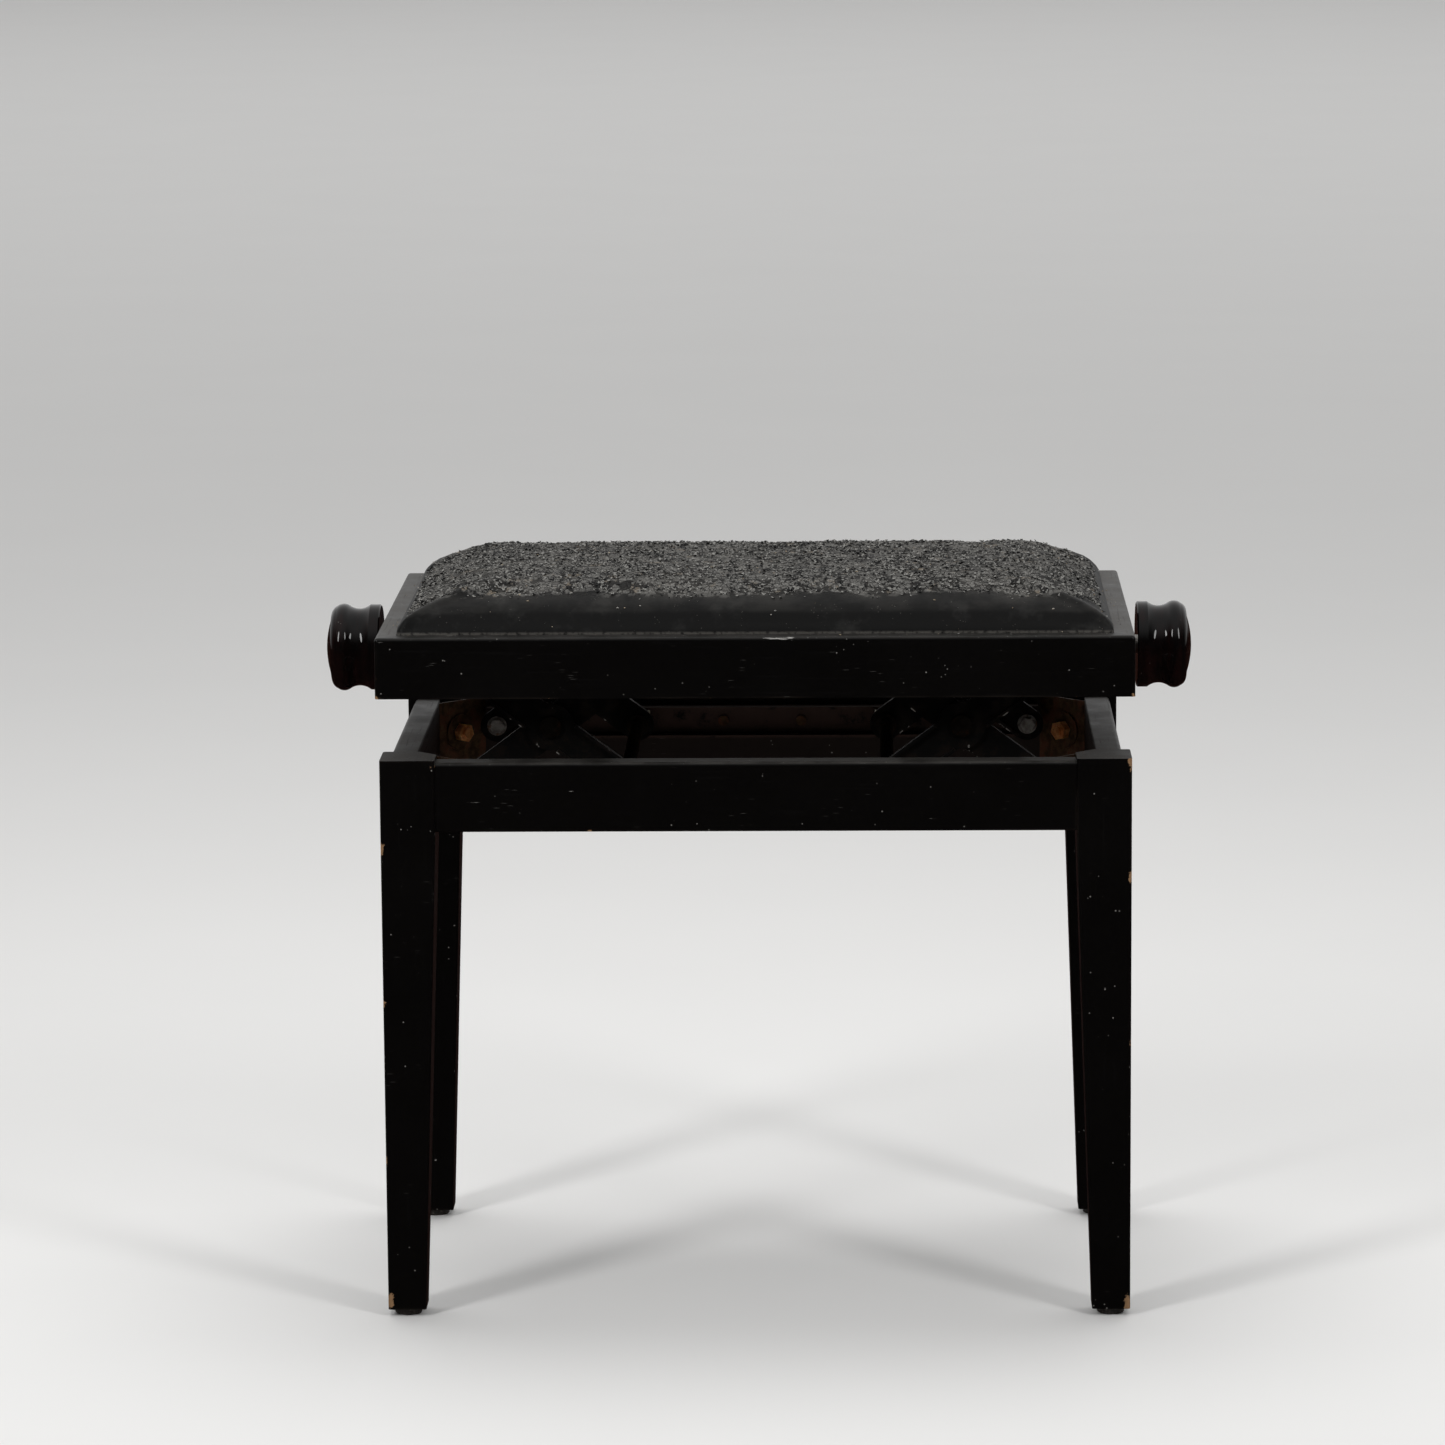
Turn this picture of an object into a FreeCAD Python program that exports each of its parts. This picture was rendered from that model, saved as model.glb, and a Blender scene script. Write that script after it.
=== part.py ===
import FreeCAD, Part
import math
import os

# Height-adjustable piano bench: a base of four legs and four aprons, a twin scissor lift, and a seat frame.
# Millimetres. Origin on the floor midway between the legs, +X to the right along the seat, +Y to the back, +Z up.

V = FreeCAD.Vector
os.makedirs("parts", exist_ok=True)

# ---- seat frame and base, overall ----
seat_width = 550.0
seat_depth = 330.0
seat_rail_height = 44.5
seat_rail_thickness = 24.0
leg_top = 416.0                 # floor to the top of a leg
seat_gap = 46.0                 # leg top to the seat frame, as the bench stands
seat_overhang_x = 2.0           # seat frame beyond the legs, each end
seat_overhang_y = 3.0           # seat frame beyond the legs, front and back

# ---- legs, glides and aprons ----
leg_section = 40.0
leg_foot_section = 28.0
leg_taper_start = 62.0          # below the leg top
leg_corner_round = 2.0
leg_inner_chamfer = 13.0
leg_chamfer_length = 56.0
glide_height = 5.5
glide_radius = 10.0
glide_nail_radius = 1.6
glide_nail_length = 14.0
apron_height = 51.0
apron_drop = 2.0                # apron top below leg top
long_apron_thickness = 19.0
long_apron_setback = 2.0
side_apron_thickness = 19.5
side_apron_setback = 5.5
apron_outer_round = 3.0
apron_inner_round = 1.2

# ---- corner brackets and hanger bolts ----
bracket_thickness = 2.0
bracket_to_leg = 7.8            # from the leg's inner chamfer to the bracket
bracket_kerf = 4.0              # how deep the bracket's ends sit in the aprons
bracket_height = 49.0
hanger_radius = 4.0
hanger_in_leg = 24.0
hanger_washer_radius = 14.0
hanger_washer_thickness = 1.6
hanger_nut_flats = 13.0
hanger_nut_height = 6.5
hanger_end = 2.5                # thread showing past the nut

# ---- scissor lift ----
arm_length = 135.0              # pivot to pivot
arm_width = 25.0
arm_thickness = 2.5
arm_lip = 6.0                   # depth over the folded edges
arm_boss_radius = 17.5
arm_gap = 1.0                   # between the webs of a crossing pair
pivot_to_leg = 28.8             # outer pivots, inward of the legs' inner faces
lower_pivot_drop = 22.0         # lower pivots below the leg top
screw_above_frame_bottom = 12.5
pivot_radius = 4.0
pivot_clearance = 0.1
side_play = 0.3                 # between pieces that turn or slide past each other
pivot_head_flats = 10.0
pivot_head_height = 4.0
pivot_washer_radius = 7.5
pivot_washer_thickness = 1.0
rivet_head_radius = 8.0
rivet_head_height = 3.0
rivet_collar_radius = 10.0
tie_radius = 4.0
tie_station = 0.6               # along the lift arm, from its lower pivot
slide_bar_radius = 5.0
slide_bar_in_shoe = 6.0
bar_collar_radius = 8.0
bar_collar_length = 5.0

# ---- slide rails and shoes ----
channel_height = 24.0
channel_wall = 2.0
channel_web = 2.5
channel_depth = 13.0
channel_to_arm = 1.5
channel_past_pivot = 8.8
shoe_length = 18.0
shoe_play = 0.3
rail_screw_stations = (30.0, 172.0)
rail_screw_head_radius = 4.0
rail_screw_head_height = 2.2
rail_screw_shank_radius = 2.0
rail_screw_length = 15.0

# ---- screw, nuts and knobs ----
screw_radius = 7.0
nut_clearance = 0.3
nut_length = 30.0
nut_width = 34.0
nut_height = 26.0
nut_bar_radius = 6.0
nut_collar_radius = 9.0
coupling_radius = 11.0
coupling_length = 44.0
coupling_pin_radius = 2.0
coupling_pin_station = 12.0
rod_gap = 1.0                   # between the two rods, inside the coupling
bush_radius = 9.0
bush_flange_radius = 12.0
bush_flange_thickness = 2.5
bush_clearance = 0.08
thrust_washer_radius = 11.0
thrust_washer_thickness = 1.5
collar_radius = 12.0
collar_length = 8.0
knob_standoff = 7.5             # from the seat frame to the knob
knob_length = 41.0
knob_foot_radius = 32.0
knob_foot_length = 8.0
knob_neck_radius = 28.9
knob_neck_station = 16.0
knob_bead_radius = 32.5
knob_bead_station = 29.0
knob_face_radius = 23.0
knob_face_drop = 4.0            # from the crown of the face to its rim
knob_bore_depth = 26.0
set_screw_radius = 2.5
set_screw_recess = 1.5          # below the foot's edge

# ---- seat pad ----
border = 15.0                   # seat frame showing around the pad
rebate_depth = 10.2
cover_thickness = 1.2
cover_play = 0.3
cover_return = 24.0             # cover folded under the board
board_thickness = 12.0
pad_height = 34.5               # crown of the pad above the seat frame
pad_edge_round = 24.0
pad_corner_round = 9.0
seat_edge_round = 2.5
corner_block = 30.0
corner_block_lift = 4.0         # corner block above the frame's bottom
board_screw_inset = 9.0
board_screw_radius = 2.0
board_screw_head_radius = 4.0
board_screw_head_height = 2.2
board_screw_in_board = 9.0

# ---- worked-out places ----
leg_x = seat_width / 2 - seat_overhang_x
leg_y = seat_depth / 2 - seat_overhang_y
leg_inner_x = leg_x - leg_section
leg_inner_y = leg_y - leg_section
apron_top = leg_top - apron_drop
apron_bottom = apron_top - apron_height
apron_mid = (apron_top + apron_bottom) / 2
long_apron_outer_y = leg_y - long_apron_setback
long_apron_inner_y = long_apron_outer_y - long_apron_thickness
side_apron_outer_x = leg_x - side_apron_setback
side_apron_inner_x = side_apron_outer_x - side_apron_thickness
seat_bottom = leg_top + seat_gap
seat_top = seat_bottom + seat_rail_height
seat_inner_x = seat_width / 2 - seat_rail_thickness
seat_inner_y = seat_depth / 2 - seat_rail_thickness
ledge = seat_top - rebate_depth
board_bottom = ledge + cover_thickness
board_top = board_bottom + board_thickness

upper_z = seat_bottom + screw_above_frame_bottom
lower_z = leg_top - lower_pivot_drop
pivot_rise = upper_z - lower_z
fold_angle = math.degrees(math.asin(pivot_rise / arm_length))
arm_reach = math.sqrt(arm_length ** 2 - pivot_rise ** 2)
outer_x = leg_inner_x - pivot_to_leg
crossing_x = outer_x - arm_reach / 2
inner_x = outer_x - arm_reach
crossing_z = (upper_z + lower_z) / 2

mouth_y = min(long_apron_inner_y, seat_inner_y) - channel_depth
brace_lip_y = mouth_y - channel_to_arm
brace_in_y = brace_lip_y - arm_lip
brace_out_y = brace_in_y + arm_thickness
lift_out_y = brace_in_y - arm_gap
lift_in_y = lift_out_y - arm_thickness

X, Y, Z = V(1, 0, 0), V(0, 1, 0), V(0, 0, 1)
ORIGIN = V(0, 0, 0)
CORNERS = ((1, 1), (-1, 1), (1, -1), (-1, -1))


# ---- shapes ----
def box(x0, x1, y0, y1, z0, z1):
    return Part.makeBox(x1 - x0, y1 - y0, z1 - z0, V(x0, y0, z0))


def rod(radius, start, direction, length):
    return Part.makeCylinder(radius, length, start, direction)


def prism(points, direction):
    return Part.Face(Part.makePolygon(points + [points[0]])).extrude(direction)


def hexagon(flats, start, direction, height):
    """Hexagonal prism whose axis runs from start along direction."""
    corner = flats / math.sqrt(3)
    ring = [V(corner * math.cos(math.radians(60 * k)), corner * math.sin(math.radians(60 * k)), 0) for k in range(6)]
    shape = prism(ring, V(0, 0, height))
    shape.Placement = FreeCAD.Placement(start, FreeCAD.Rotation(Z, direction))
    return shape


def long_edges(shape, direction, test):
    """Straight edges along a direction whose middle passes a test."""
    found = []
    for edge in shape.Edges:
        along = edge.Vertexes[-1].Point - edge.Vertexes[0].Point
        if along.Length > 1 and along.cross(direction).Length < 1e-6 * along.Length and test(edge.CenterOfMass):
            found.append(edge)
    return found


def mirrored(shape, sx, sy):
    if sx < 0:
        shape = shape.mirror(ORIGIN, X)
    if sy < 0:
        shape = shape.mirror(ORIGIN, Y)
    return shape


def at_corners(shape):
    return [mirrored(shape, sx, sy) for sx, sy in CORNERS]


def front_and_back(shape):
    return [shape, mirrored(shape, 1, -1)]


nodes = {}


def keep(name, shapes):
    nodes[name] = Part.makeCompound(shapes) if isinstance(shapes, list) else shapes


# ---- corner brackets: flat plates across each corner, their ends let into the aprons ----
def bracket_centre():
    chamfer_sum = leg_inner_x + leg_inner_y + leg_inner_chamfer
    plate_sum = chamfer_sum - bracket_to_leg * math.sqrt(2)
    across = leg_inner_x - leg_inner_y
    return V((plate_sum + across) / 2, (plate_sum - across) / 2, apron_mid)


DIAGONAL = V(1, 1, 0).normalize()
SIDEWAYS = V(1, -1, 0).normalize()


def bracket_blank():
    centre = bracket_centre()
    to_side = (side_apron_inner_x + bracket_kerf - centre.x) * math.sqrt(2)
    to_long = (long_apron_inner_y + bracket_kerf - centre.y) * math.sqrt(2)
    low = centre - SIDEWAYS * to_long - DIAGONAL * (bracket_thickness / 2) - Z * (bracket_height / 2)
    far = low + SIDEWAYS * (to_long + to_side)
    thick = DIAGONAL * bracket_thickness
    return prism([low, far, far + thick, low + thick], V(0, 0, bracket_height))


def hanger_line(start, length, radius):
    return rod(radius, bracket_centre() + DIAGONAL * start, DIAGONAL, length)


def make_corner_hardware():
    inner_face = -bracket_thickness / 2
    washer_face = inner_face - hanger_washer_thickness
    nut_face = washer_face - hanger_nut_height
    bolt_start = nut_face - hanger_end
    bolt_length = bracket_to_leg + hanger_in_leg - bolt_start
    bolt = hanger_line(bolt_start, bolt_length, hanger_radius)
    washer = hanger_line(washer_face, hanger_washer_thickness, hanger_washer_radius)
    nut = hexagon(hanger_nut_flats, bracket_centre() + DIAGONAL * nut_face, DIAGONAL, hanger_nut_height)
    keep("corner_brackets", at_corners(bracket_blank().cut(bolt)))
    keep("hanger_bolts", at_corners(bolt))
    keep("hanger_washers", at_corners(washer.cut(bolt)))
    keep("hanger_nuts", at_corners(nut.cut(bolt)))
    return bolt


# ---- legs and glides ----
def leg_outline(size, z):
    """Rounded square wire with its outer corner on the legs' outer corner."""
    r = leg_corner_round
    x0, x1, y0, y1 = leg_x - size, leg_x, leg_y - size, leg_y
    k = r * (1 - math.sqrt(0.5))
    edges = [
        Part.LineSegment(V(x0 + r, y0, z), V(x1 - r, y0, z)),
        Part.Arc(V(x1 - r, y0, z), V(x1 - k, y0 + k, z), V(x1, y0 + r, z)),
        Part.LineSegment(V(x1, y0 + r, z), V(x1, y1 - r, z)),
        Part.Arc(V(x1, y1 - r, z), V(x1 - k, y1 - k, z), V(x1 - r, y1, z)),
        Part.LineSegment(V(x1 - r, y1, z), V(x0 + r, y1, z)),
        Part.Arc(V(x0 + r, y1, z), V(x0 + k, y1 - k, z), V(x0, y1 - r, z)),
        Part.LineSegment(V(x0, y1 - r, z), V(x0, y0 + r, z)),
        Part.Arc(V(x0, y0 + r, z), V(x0 + k, y0 + k, z), V(x0 + r, y0, z)),
    ]
    return Part.Wire([edge.toShape() for edge in edges])


def make_legs(bolt):
    knee = leg_top - leg_taper_start
    post = Part.Face(leg_outline(leg_section, knee)).extrude(V(0, 0, leg_taper_start))
    taper = Part.makeLoft([leg_outline(leg_foot_section, glide_height), leg_outline(leg_section, knee)], True, True)
    c = leg_inner_chamfer
    corner = [
        V(leg_inner_x, leg_inner_y, leg_top),
        V(leg_inner_x + c, leg_inner_y, leg_top),
        V(leg_inner_x, leg_inner_y + c, leg_top),
    ]
    leg = post.fuse(taper).cut(prism(corner, V(0, 0, -leg_chamfer_length))).cut(bolt)
    centre = V(leg_x - leg_foot_section / 2, leg_y - leg_foot_section / 2, 0)
    nail = rod(glide_nail_radius, centre + Z * glide_height, Z, glide_nail_length)
    pad = rod(glide_radius, centre, Z, glide_height)
    pad = pad.makeFillet(1.2, [edge for edge in pad.Edges if abs(edge.CenterOfMass.z) < 1e-6])
    leg = leg.cut(nail).removeSplitter()
    keep("back_right_leg", leg)
    keep("back_left_leg", mirrored(leg, -1, 1))
    keep("front_right_leg", mirrored(leg, 1, -1))
    keep("front_left_leg", mirrored(leg, -1, -1))
    keep("foot_glides", at_corners(pad.fuse(nail)))


# ---- aprons, butted between the legs ----
def make_aprons():
    brackets = at_corners(bracket_blank())
    board = box(-leg_inner_x, leg_inner_x, long_apron_inner_y, long_apron_outer_y, apron_bottom, apron_top)
    outer = long_edges(board, X, lambda c: c.y > long_apron_inner_y + 1 and c.z > apron_mid)
    board = board.makeFillet(apron_outer_round, outer)
    inner = long_edges(board, X, lambda c: c.y < long_apron_inner_y + 1 or c.z < apron_bottom + 1)
    board = board.makeFillet(apron_inner_round, inner).cut(brackets)
    keep("back_apron", board)
    keep("front_apron", mirrored(board, 1, -1))
    side = box(side_apron_inner_x, side_apron_outer_x, -leg_inner_y, leg_inner_y, apron_bottom, apron_top)
    outer = long_edges(side, Y, lambda c: c.x > side_apron_inner_x + 1 and c.z > apron_mid)
    side = side.makeFillet(apron_outer_round, outer)
    inner = long_edges(side, Y, lambda c: c.x < side_apron_inner_x + 1 or c.z < apron_bottom + 1)
    side = side.makeFillet(apron_inner_round, inner).cut(brackets)
    keep("right_side_apron", side)
    keep("left_side_apron", mirrored(side, -1, 1))


# ---- scissor arms: flat webs with folded edges, an eye at each end and a boss where the pair cross ----
def arm(end_radius, mid_radius, far_radius):
    """Arm along +X from the first pivot, web from y = 0 to its thickness and lips towards +Y."""
    half = arm_width / 2
    web = box(0, arm_length, 0, arm_thickness, -half, half)
    eyes = [rod(half, V(x, 0, 0), Y, arm_thickness) for x in (0, arm_length)]
    boss = rod(arm_boss_radius, V(arm_length / 2, 0, 0), Y, arm_thickness)
    gap = math.sqrt(arm_boss_radius ** 2 - (half - arm_thickness) ** 2)
    lips = []
    for x0, x1 in ((0, arm_length / 2 - gap), (arm_length / 2 + gap, arm_length)):
        for z0, z1 in ((-half, arm_thickness - half), (half - arm_thickness, half)):
            lips.append(box(x0, x1, 0, arm_lip, z0, z1))
    blank = web.fuse(eyes + [boss] + lips).removeSplitter()
    holes = [
        rod(radius, V(x, -1, 0), Y, arm_lip + 2)
        for x, radius in ((0, end_radius), (arm_length / 2, mid_radius), (arm_length, far_radius))
    ]
    return blank.cut(holes)


def placed(shape, x, y, z, angle):
    """Turn a shape's +X towards an angle above horizontal in the XZ plane, then move it."""
    shape = shape.copy()
    shape.rotate(ORIGIN, Y, -angle)
    shape.translate(V(x, y, z))
    return shape


def along_arm(fraction):
    return outer_x - arm_reach * fraction, lower_z + pivot_rise * fraction


def rivet():
    """Crossing rivet with a head each side and a thin collar between the webs."""
    start = lift_in_y - side_play - rivet_head_height
    shank = rod(pivot_radius, V(crossing_x, start, crossing_z), Y, brace_out_y + rivet_head_height - start)
    parts = []
    for y, radius, length in (
        (start, rivet_head_radius, rivet_head_height),
        (brace_in_y - arm_gap + 2 * side_play, rivet_collar_radius, arm_gap - 2 * side_play),
        (brace_out_y, rivet_head_radius, rivet_head_height),
    ):
        parts.append(rod(radius, V(crossing_x, y, crossing_z), Y, length))
    return shank.fuse(parts).removeSplitter()


def make_scissors():
    running = pivot_radius + pivot_clearance
    lift = arm(running, running, nut_bar_radius + pivot_clearance).mirror(ORIGIN, Y)
    lift = placed(lift, outer_x, lift_out_y, lower_z, 180 - fold_angle)
    brace = arm(running, pivot_radius, slide_bar_radius)
    brace = placed(brace, outer_x, brace_in_y, upper_z, 180 + fold_angle)
    tie_x, tie_z = along_arm(tie_station)
    tie = rod(tie_radius, V(tie_x, -lift_in_y, tie_z), Y, 2 * lift_in_y)
    bar_end = mouth_y + slide_bar_in_shoe
    bar = rod(slide_bar_radius, V(inner_x, -bar_end, lower_z), Y, 2 * bar_end)
    collar = rod(bar_collar_radius, V(inner_x, brace_in_y - bar_collar_length, lower_z), Y, bar_collar_length)
    bar = bar.fuse(front_and_back(collar)).removeSplitter()
    for side, sx in (("right", 1), ("left", -1)):
        keep(side + "_lift_arm_rear", mirrored(lift, sx, 1))
        keep(side + "_lift_arm_front", mirrored(lift, sx, -1))
        keep(side + "_lift_tie", mirrored(tie, sx, 1))
        keep(side + "_brace_arm_rear", mirrored(brace, sx, 1))
        keep(side + "_brace_arm_front", mirrored(brace, sx, -1))
        keep(side + "_slide_bar", mirrored(bar, sx, 1))
        keep(side + "_crossing_rivets", [mirrored(rivet(), sx, sy) for sy in (1, -1)])


# ---- slide rails: steel channels, open towards the middle, on the aprons and on the seat rails ----
def channel(wall_y, z, half_length, bolt):
    low, high = z - channel_height / 2, z + channel_height / 2
    shape = box(-half_length, half_length, mouth_y, wall_y, low, high)
    hollow = box(
        -half_length - 1, half_length + 1, mouth_y - 1, wall_y - channel_web, low + channel_wall, high - channel_wall
    )
    return shape.cut(hollow).cut([bolt, mirrored(bolt, -1, 1)])


def pivot_bolt(wall_y, z, arm_face):
    """Shouldered bolt: hex head and washer on the arm's inner face, shank into the rail's web."""
    washer_start = arm_face - side_play - pivot_washer_thickness
    head = hexagon(pivot_head_flats, V(outer_x, washer_start - pivot_head_height, z), Y, pivot_head_height)
    washer = rod(pivot_washer_radius, V(outer_x, washer_start, z), Y, pivot_washer_thickness)
    shank = rod(pivot_radius, V(outer_x, washer_start, z), Y, wall_y - washer_start)
    return shank, head.fuse([washer, shank]).removeSplitter()


def rail_screws(wall_y, z):
    screws = []
    for x in rail_screw_stations:
        start = V(x, wall_y - channel_web, z)
        shank = rod(rail_screw_shank_radius, start, Y, rail_screw_length)
        head = rod(rail_screw_head_radius, start - Y * rail_screw_head_height, Y, rail_screw_head_height)
        screws.append(shank.fuse(head).removeSplitter())
    return screws


def make_rails():
    for place, wall_y, z, arm_in, arm_out in (
        ("lower", long_apron_inner_y, lower_z, lift_in_y, lift_out_y),
        ("upper", seat_inner_y, upper_z, brace_in_y, brace_out_y),
    ):
        shank, bolt = pivot_bolt(wall_y, z, arm_in)
        spacer_length = wall_y - channel_web - arm_out - side_play
        spacer = rod(pivot_washer_radius, V(outer_x, arm_out + side_play, z), Y, spacer_length).cut(shank)
        screws = [mirrored(screw, sx, sy) for screw in rail_screws(wall_y, z) for sx, sy in CORNERS]
        rail = channel(wall_y, z, outer_x + channel_past_pivot, shank).cut(screws)
        keep(place + "_rail_rear", rail)
        keep(place + "_rail_front", mirrored(rail, 1, -1))
        keep(place + "_wood_screws", screws)
        keep(place + "_pivot_bolts", at_corners(bolt))
        keep(place + "_pivot_spacers", at_corners(spacer))
        for wood in (("front_apron", "back_apron") if place == "lower" else ("seat_front_rail", "seat_back_rail")):
            nodes[wood] = nodes[wood].cut(screws)


def shoe(wall_y, z, bar_radius, bar_depth):
    """Plastic block that slides in a channel, with a blind bore for its bar."""
    tall = channel_height / 2 - channel_wall - shoe_play
    end = wall_y - channel_web - shoe_play
    block = box(inner_x - shoe_length / 2, inner_x + shoe_length / 2, mouth_y + shoe_play, end, z - tall, z + tall)
    return block.cut(rod(bar_radius, V(inner_x, mouth_y - 1, z), Y, bar_depth + 1))


# ---- trunnion nuts: a threaded block with a bar each side that carries the lift arms and the upper shoes ----
def make_nuts_and_shoes():
    block = box(
        inner_x - nut_length / 2, inner_x + nut_length / 2, -nut_width / 2, nut_width / 2,
        upper_z - nut_height / 2, upper_z + nut_height / 2,
    )
    block = block.makeFillet(2.0, long_edges(block, X, lambda c: True))
    bar_end = mouth_y + slide_bar_in_shoe
    bar = rod(nut_bar_radius, V(inner_x, nut_width / 2, upper_z), Y, bar_end - nut_width / 2)
    inner_collar_start = lift_in_y - side_play - bar_collar_length
    inner_collar = rod(nut_collar_radius, V(inner_x, inner_collar_start, upper_z), Y, bar_collar_length)
    sleeve_start = lift_out_y + side_play
    sleeve = rod(nut_collar_radius, V(inner_x, sleeve_start, upper_z), Y, mouth_y - sleeve_start)
    arms = front_and_back(bar.fuse([inner_collar, sleeve]))
    bore = rod(screw_radius + nut_clearance, V(inner_x - nut_length, 0, upper_z), X, 2 * nut_length)
    nut = block.fuse(arms).removeSplitter().cut(bore)
    upper = shoe(seat_inner_y, upper_z, nut_bar_radius, slide_bar_in_shoe)
    lower = shoe(long_apron_inner_y, lower_z, slide_bar_radius + pivot_clearance, slide_bar_in_shoe + side_play)
    for side, sx in (("right", 1), ("left", -1)):
        keep(side + "_screw_nut", mirrored(nut, sx, 1))
        keep(side + "_upper_shoes", [mirrored(upper, sx, sy) for sy in (1, -1)])
        keep(side + "_lower_shoes", [mirrored(lower, sx, sy) for sy in (1, -1)])


# ---- screw, coupling, collars and knobs ----
def knob():
    """Turned knob along +X from its foot, on the X axis: foot, hollow neck, bead, and a gently domed face."""
    foot_edge = V(1, 0, knob_foot_radius)
    foot_end = V(knob_foot_length, 0, knob_foot_radius)
    neck = V(knob_neck_station, 0, knob_neck_radius)
    bead_start = V(knob_bead_station - 5, 0, knob_bead_radius - 1.2)
    bead = V(knob_bead_station, 0, knob_bead_radius)
    bead_end = V(knob_bead_station + 4, 0, knob_bead_radius - 1.6)
    rim = V(knob_length - knob_face_drop, 0, knob_face_radius)
    shoulder = (bead_end + rim) * 0.5 + V(1.0, 0, 1.4)
    crown = V(knob_length, 0, 0)
    dome_radius = (knob_face_radius ** 2 + knob_face_drop ** 2) / (2 * knob_face_drop)
    half = knob_face_radius / 2
    dome_middle = V(knob_length - dome_radius + math.sqrt(dome_radius ** 2 - half ** 2), 0, half)
    outline = [
        Part.LineSegment(ORIGIN, V(0, 0, knob_foot_radius - 1)),
        Part.LineSegment(V(0, 0, knob_foot_radius - 1), foot_edge),
        Part.LineSegment(foot_edge, foot_end),
        Part.Arc(foot_end, neck, bead_start),
        Part.Arc(bead_start, bead, bead_end),
        Part.Arc(bead_end, shoulder, rim),
        Part.Arc(rim, dome_middle, crown),
        Part.LineSegment(crown, ORIGIN),
    ]
    face = Part.Face(Part.Wire([edge.toShape() for edge in outline]))
    return face.revolve(ORIGIN, X, 360)


def make_screw():
    frame_side = seat_width / 2
    knob_start = frame_side + knob_standoff
    rod_end = knob_start + knob_bore_depth
    right_rod = rod(screw_radius, V(rod_gap / 2, 0, upper_z), X, rod_end - rod_gap / 2)
    pin = rod(coupling_pin_radius, V(coupling_pin_station, 0, upper_z - coupling_radius), Z, 2 * coupling_radius)
    pins = [pin, mirrored(pin, -1, 1)]
    set_x = knob_start + knob_foot_length / 2
    set_hole = rod(set_screw_radius, V(set_x, 0, upper_z), -Z, knob_foot_radius + 1)
    set_screw = rod(set_screw_radius, V(set_x, 0, upper_z), -Z, knob_foot_radius - set_screw_recess).cut(right_rod)
    coupling = rod(coupling_radius, V(-coupling_length / 2, 0, upper_z), X, coupling_length)
    coupling = coupling.cut(rod(screw_radius, V(-coupling_length / 2, 0, upper_z), X, coupling_length)).cut(pins)
    collar = rod(collar_radius, V(seat_inner_x - side_play - collar_length, 0, upper_z), X, collar_length).cut(right_rod)
    washer_x = frame_side + bush_flange_thickness + side_play
    washer = rod(thrust_washer_radius, V(washer_x, 0, upper_z), X, thrust_washer_thickness).cut(right_rod)
    handle = knob()
    handle.translate(V(knob_start, 0, upper_z))
    handle = handle.cut([right_rod, set_hole])
    keep("screw_rods", [right_rod.cut(pins), mirrored(right_rod.cut(pins), -1, 1)])
    keep("screw_coupling", coupling)
    keep("coupling_pins", pins)
    keep("screw_collars", [collar, mirrored(collar, -1, 1)])
    keep("thrust_washers", [washer, mirrored(washer, -1, 1)])
    keep("right_knob", handle)
    keep("left_knob", mirrored(handle, -1, 1))
    keep("knob_set_screws", [set_screw, mirrored(set_screw, -1, 1)])


# ---- seat frame: four mitred rails with a rebate for the pad ----
def make_seat_frame():
    w, d = seat_width / 2, seat_depth / 2
    block = box(-w, w, -d, d, seat_bottom, seat_top)
    block = block.makeFillet(seat_edge_round, long_edges(block, Z, lambda c: True))
    block = block.makeFillet(seat_edge_round, [e for e in block.Edges if abs(e.CenterOfMass.z - seat_top) < 1e-6])
    block = block.cut(box(-seat_inner_x, seat_inner_x, -seat_inner_y, seat_inner_y, seat_bottom - 1, seat_top + 1))
    block = block.cut(box(border - w, w - border, border - d, d - border, ledge, seat_top + 1))
    bush, bush_body = bush_and_bore()
    block = block.cut([bush_body, mirrored(bush_body, -1, 1)])
    low, rise = seat_bottom - 1, V(0, 0, seat_rail_height + 2)
    ow, od, mid = w + 1, d + 1, w - d
    back = [V(-ow, od, low), V(ow, od, low), V(mid, 0, low), V(-mid, 0, low)]
    right = [V(ow, -od, low), V(ow, od, low), V(mid, 0, low)]
    keep("seat_back_rail", block.common(prism(back, rise)))
    keep("seat_front_rail", block.common(mirrored(prism(back, rise), 1, -1)))
    keep("seat_right_rail", block.common(prism(right, rise)))
    keep("seat_left_rail", block.common(mirrored(prism(right, rise), -1, 1)))
    keep("screw_bushes", [bush, mirrored(bush, -1, 1)])


def bush_and_bore():
    frame_side = seat_width / 2
    body = rod(bush_radius, V(seat_inner_x, 0, upper_z), X, seat_rail_thickness)
    flange = rod(bush_flange_radius, V(frame_side, 0, upper_z), X, bush_flange_thickness)
    bore = rod(screw_radius + bush_clearance, V(seat_inner_x - 1, 0, upper_z), X, seat_rail_thickness + 10)
    return body.fuse(flange).cut(bore), body


# ---- seat pad: board, foam and cover, set in the rebate ----
def pad_solid(inset, z0, z1, edge_round, corner_round):
    w, d = seat_width / 2 - inset, seat_depth / 2 - inset
    shape = box(-w, w, -d, d, z0, z1)
    shape = shape.makeFillet(corner_round, long_edges(shape, Z, lambda c: True))
    return shape.makeFillet(edge_round, [e for e in shape.Edges if abs(e.CenterOfMass.z - z1) < 1e-6])


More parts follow.
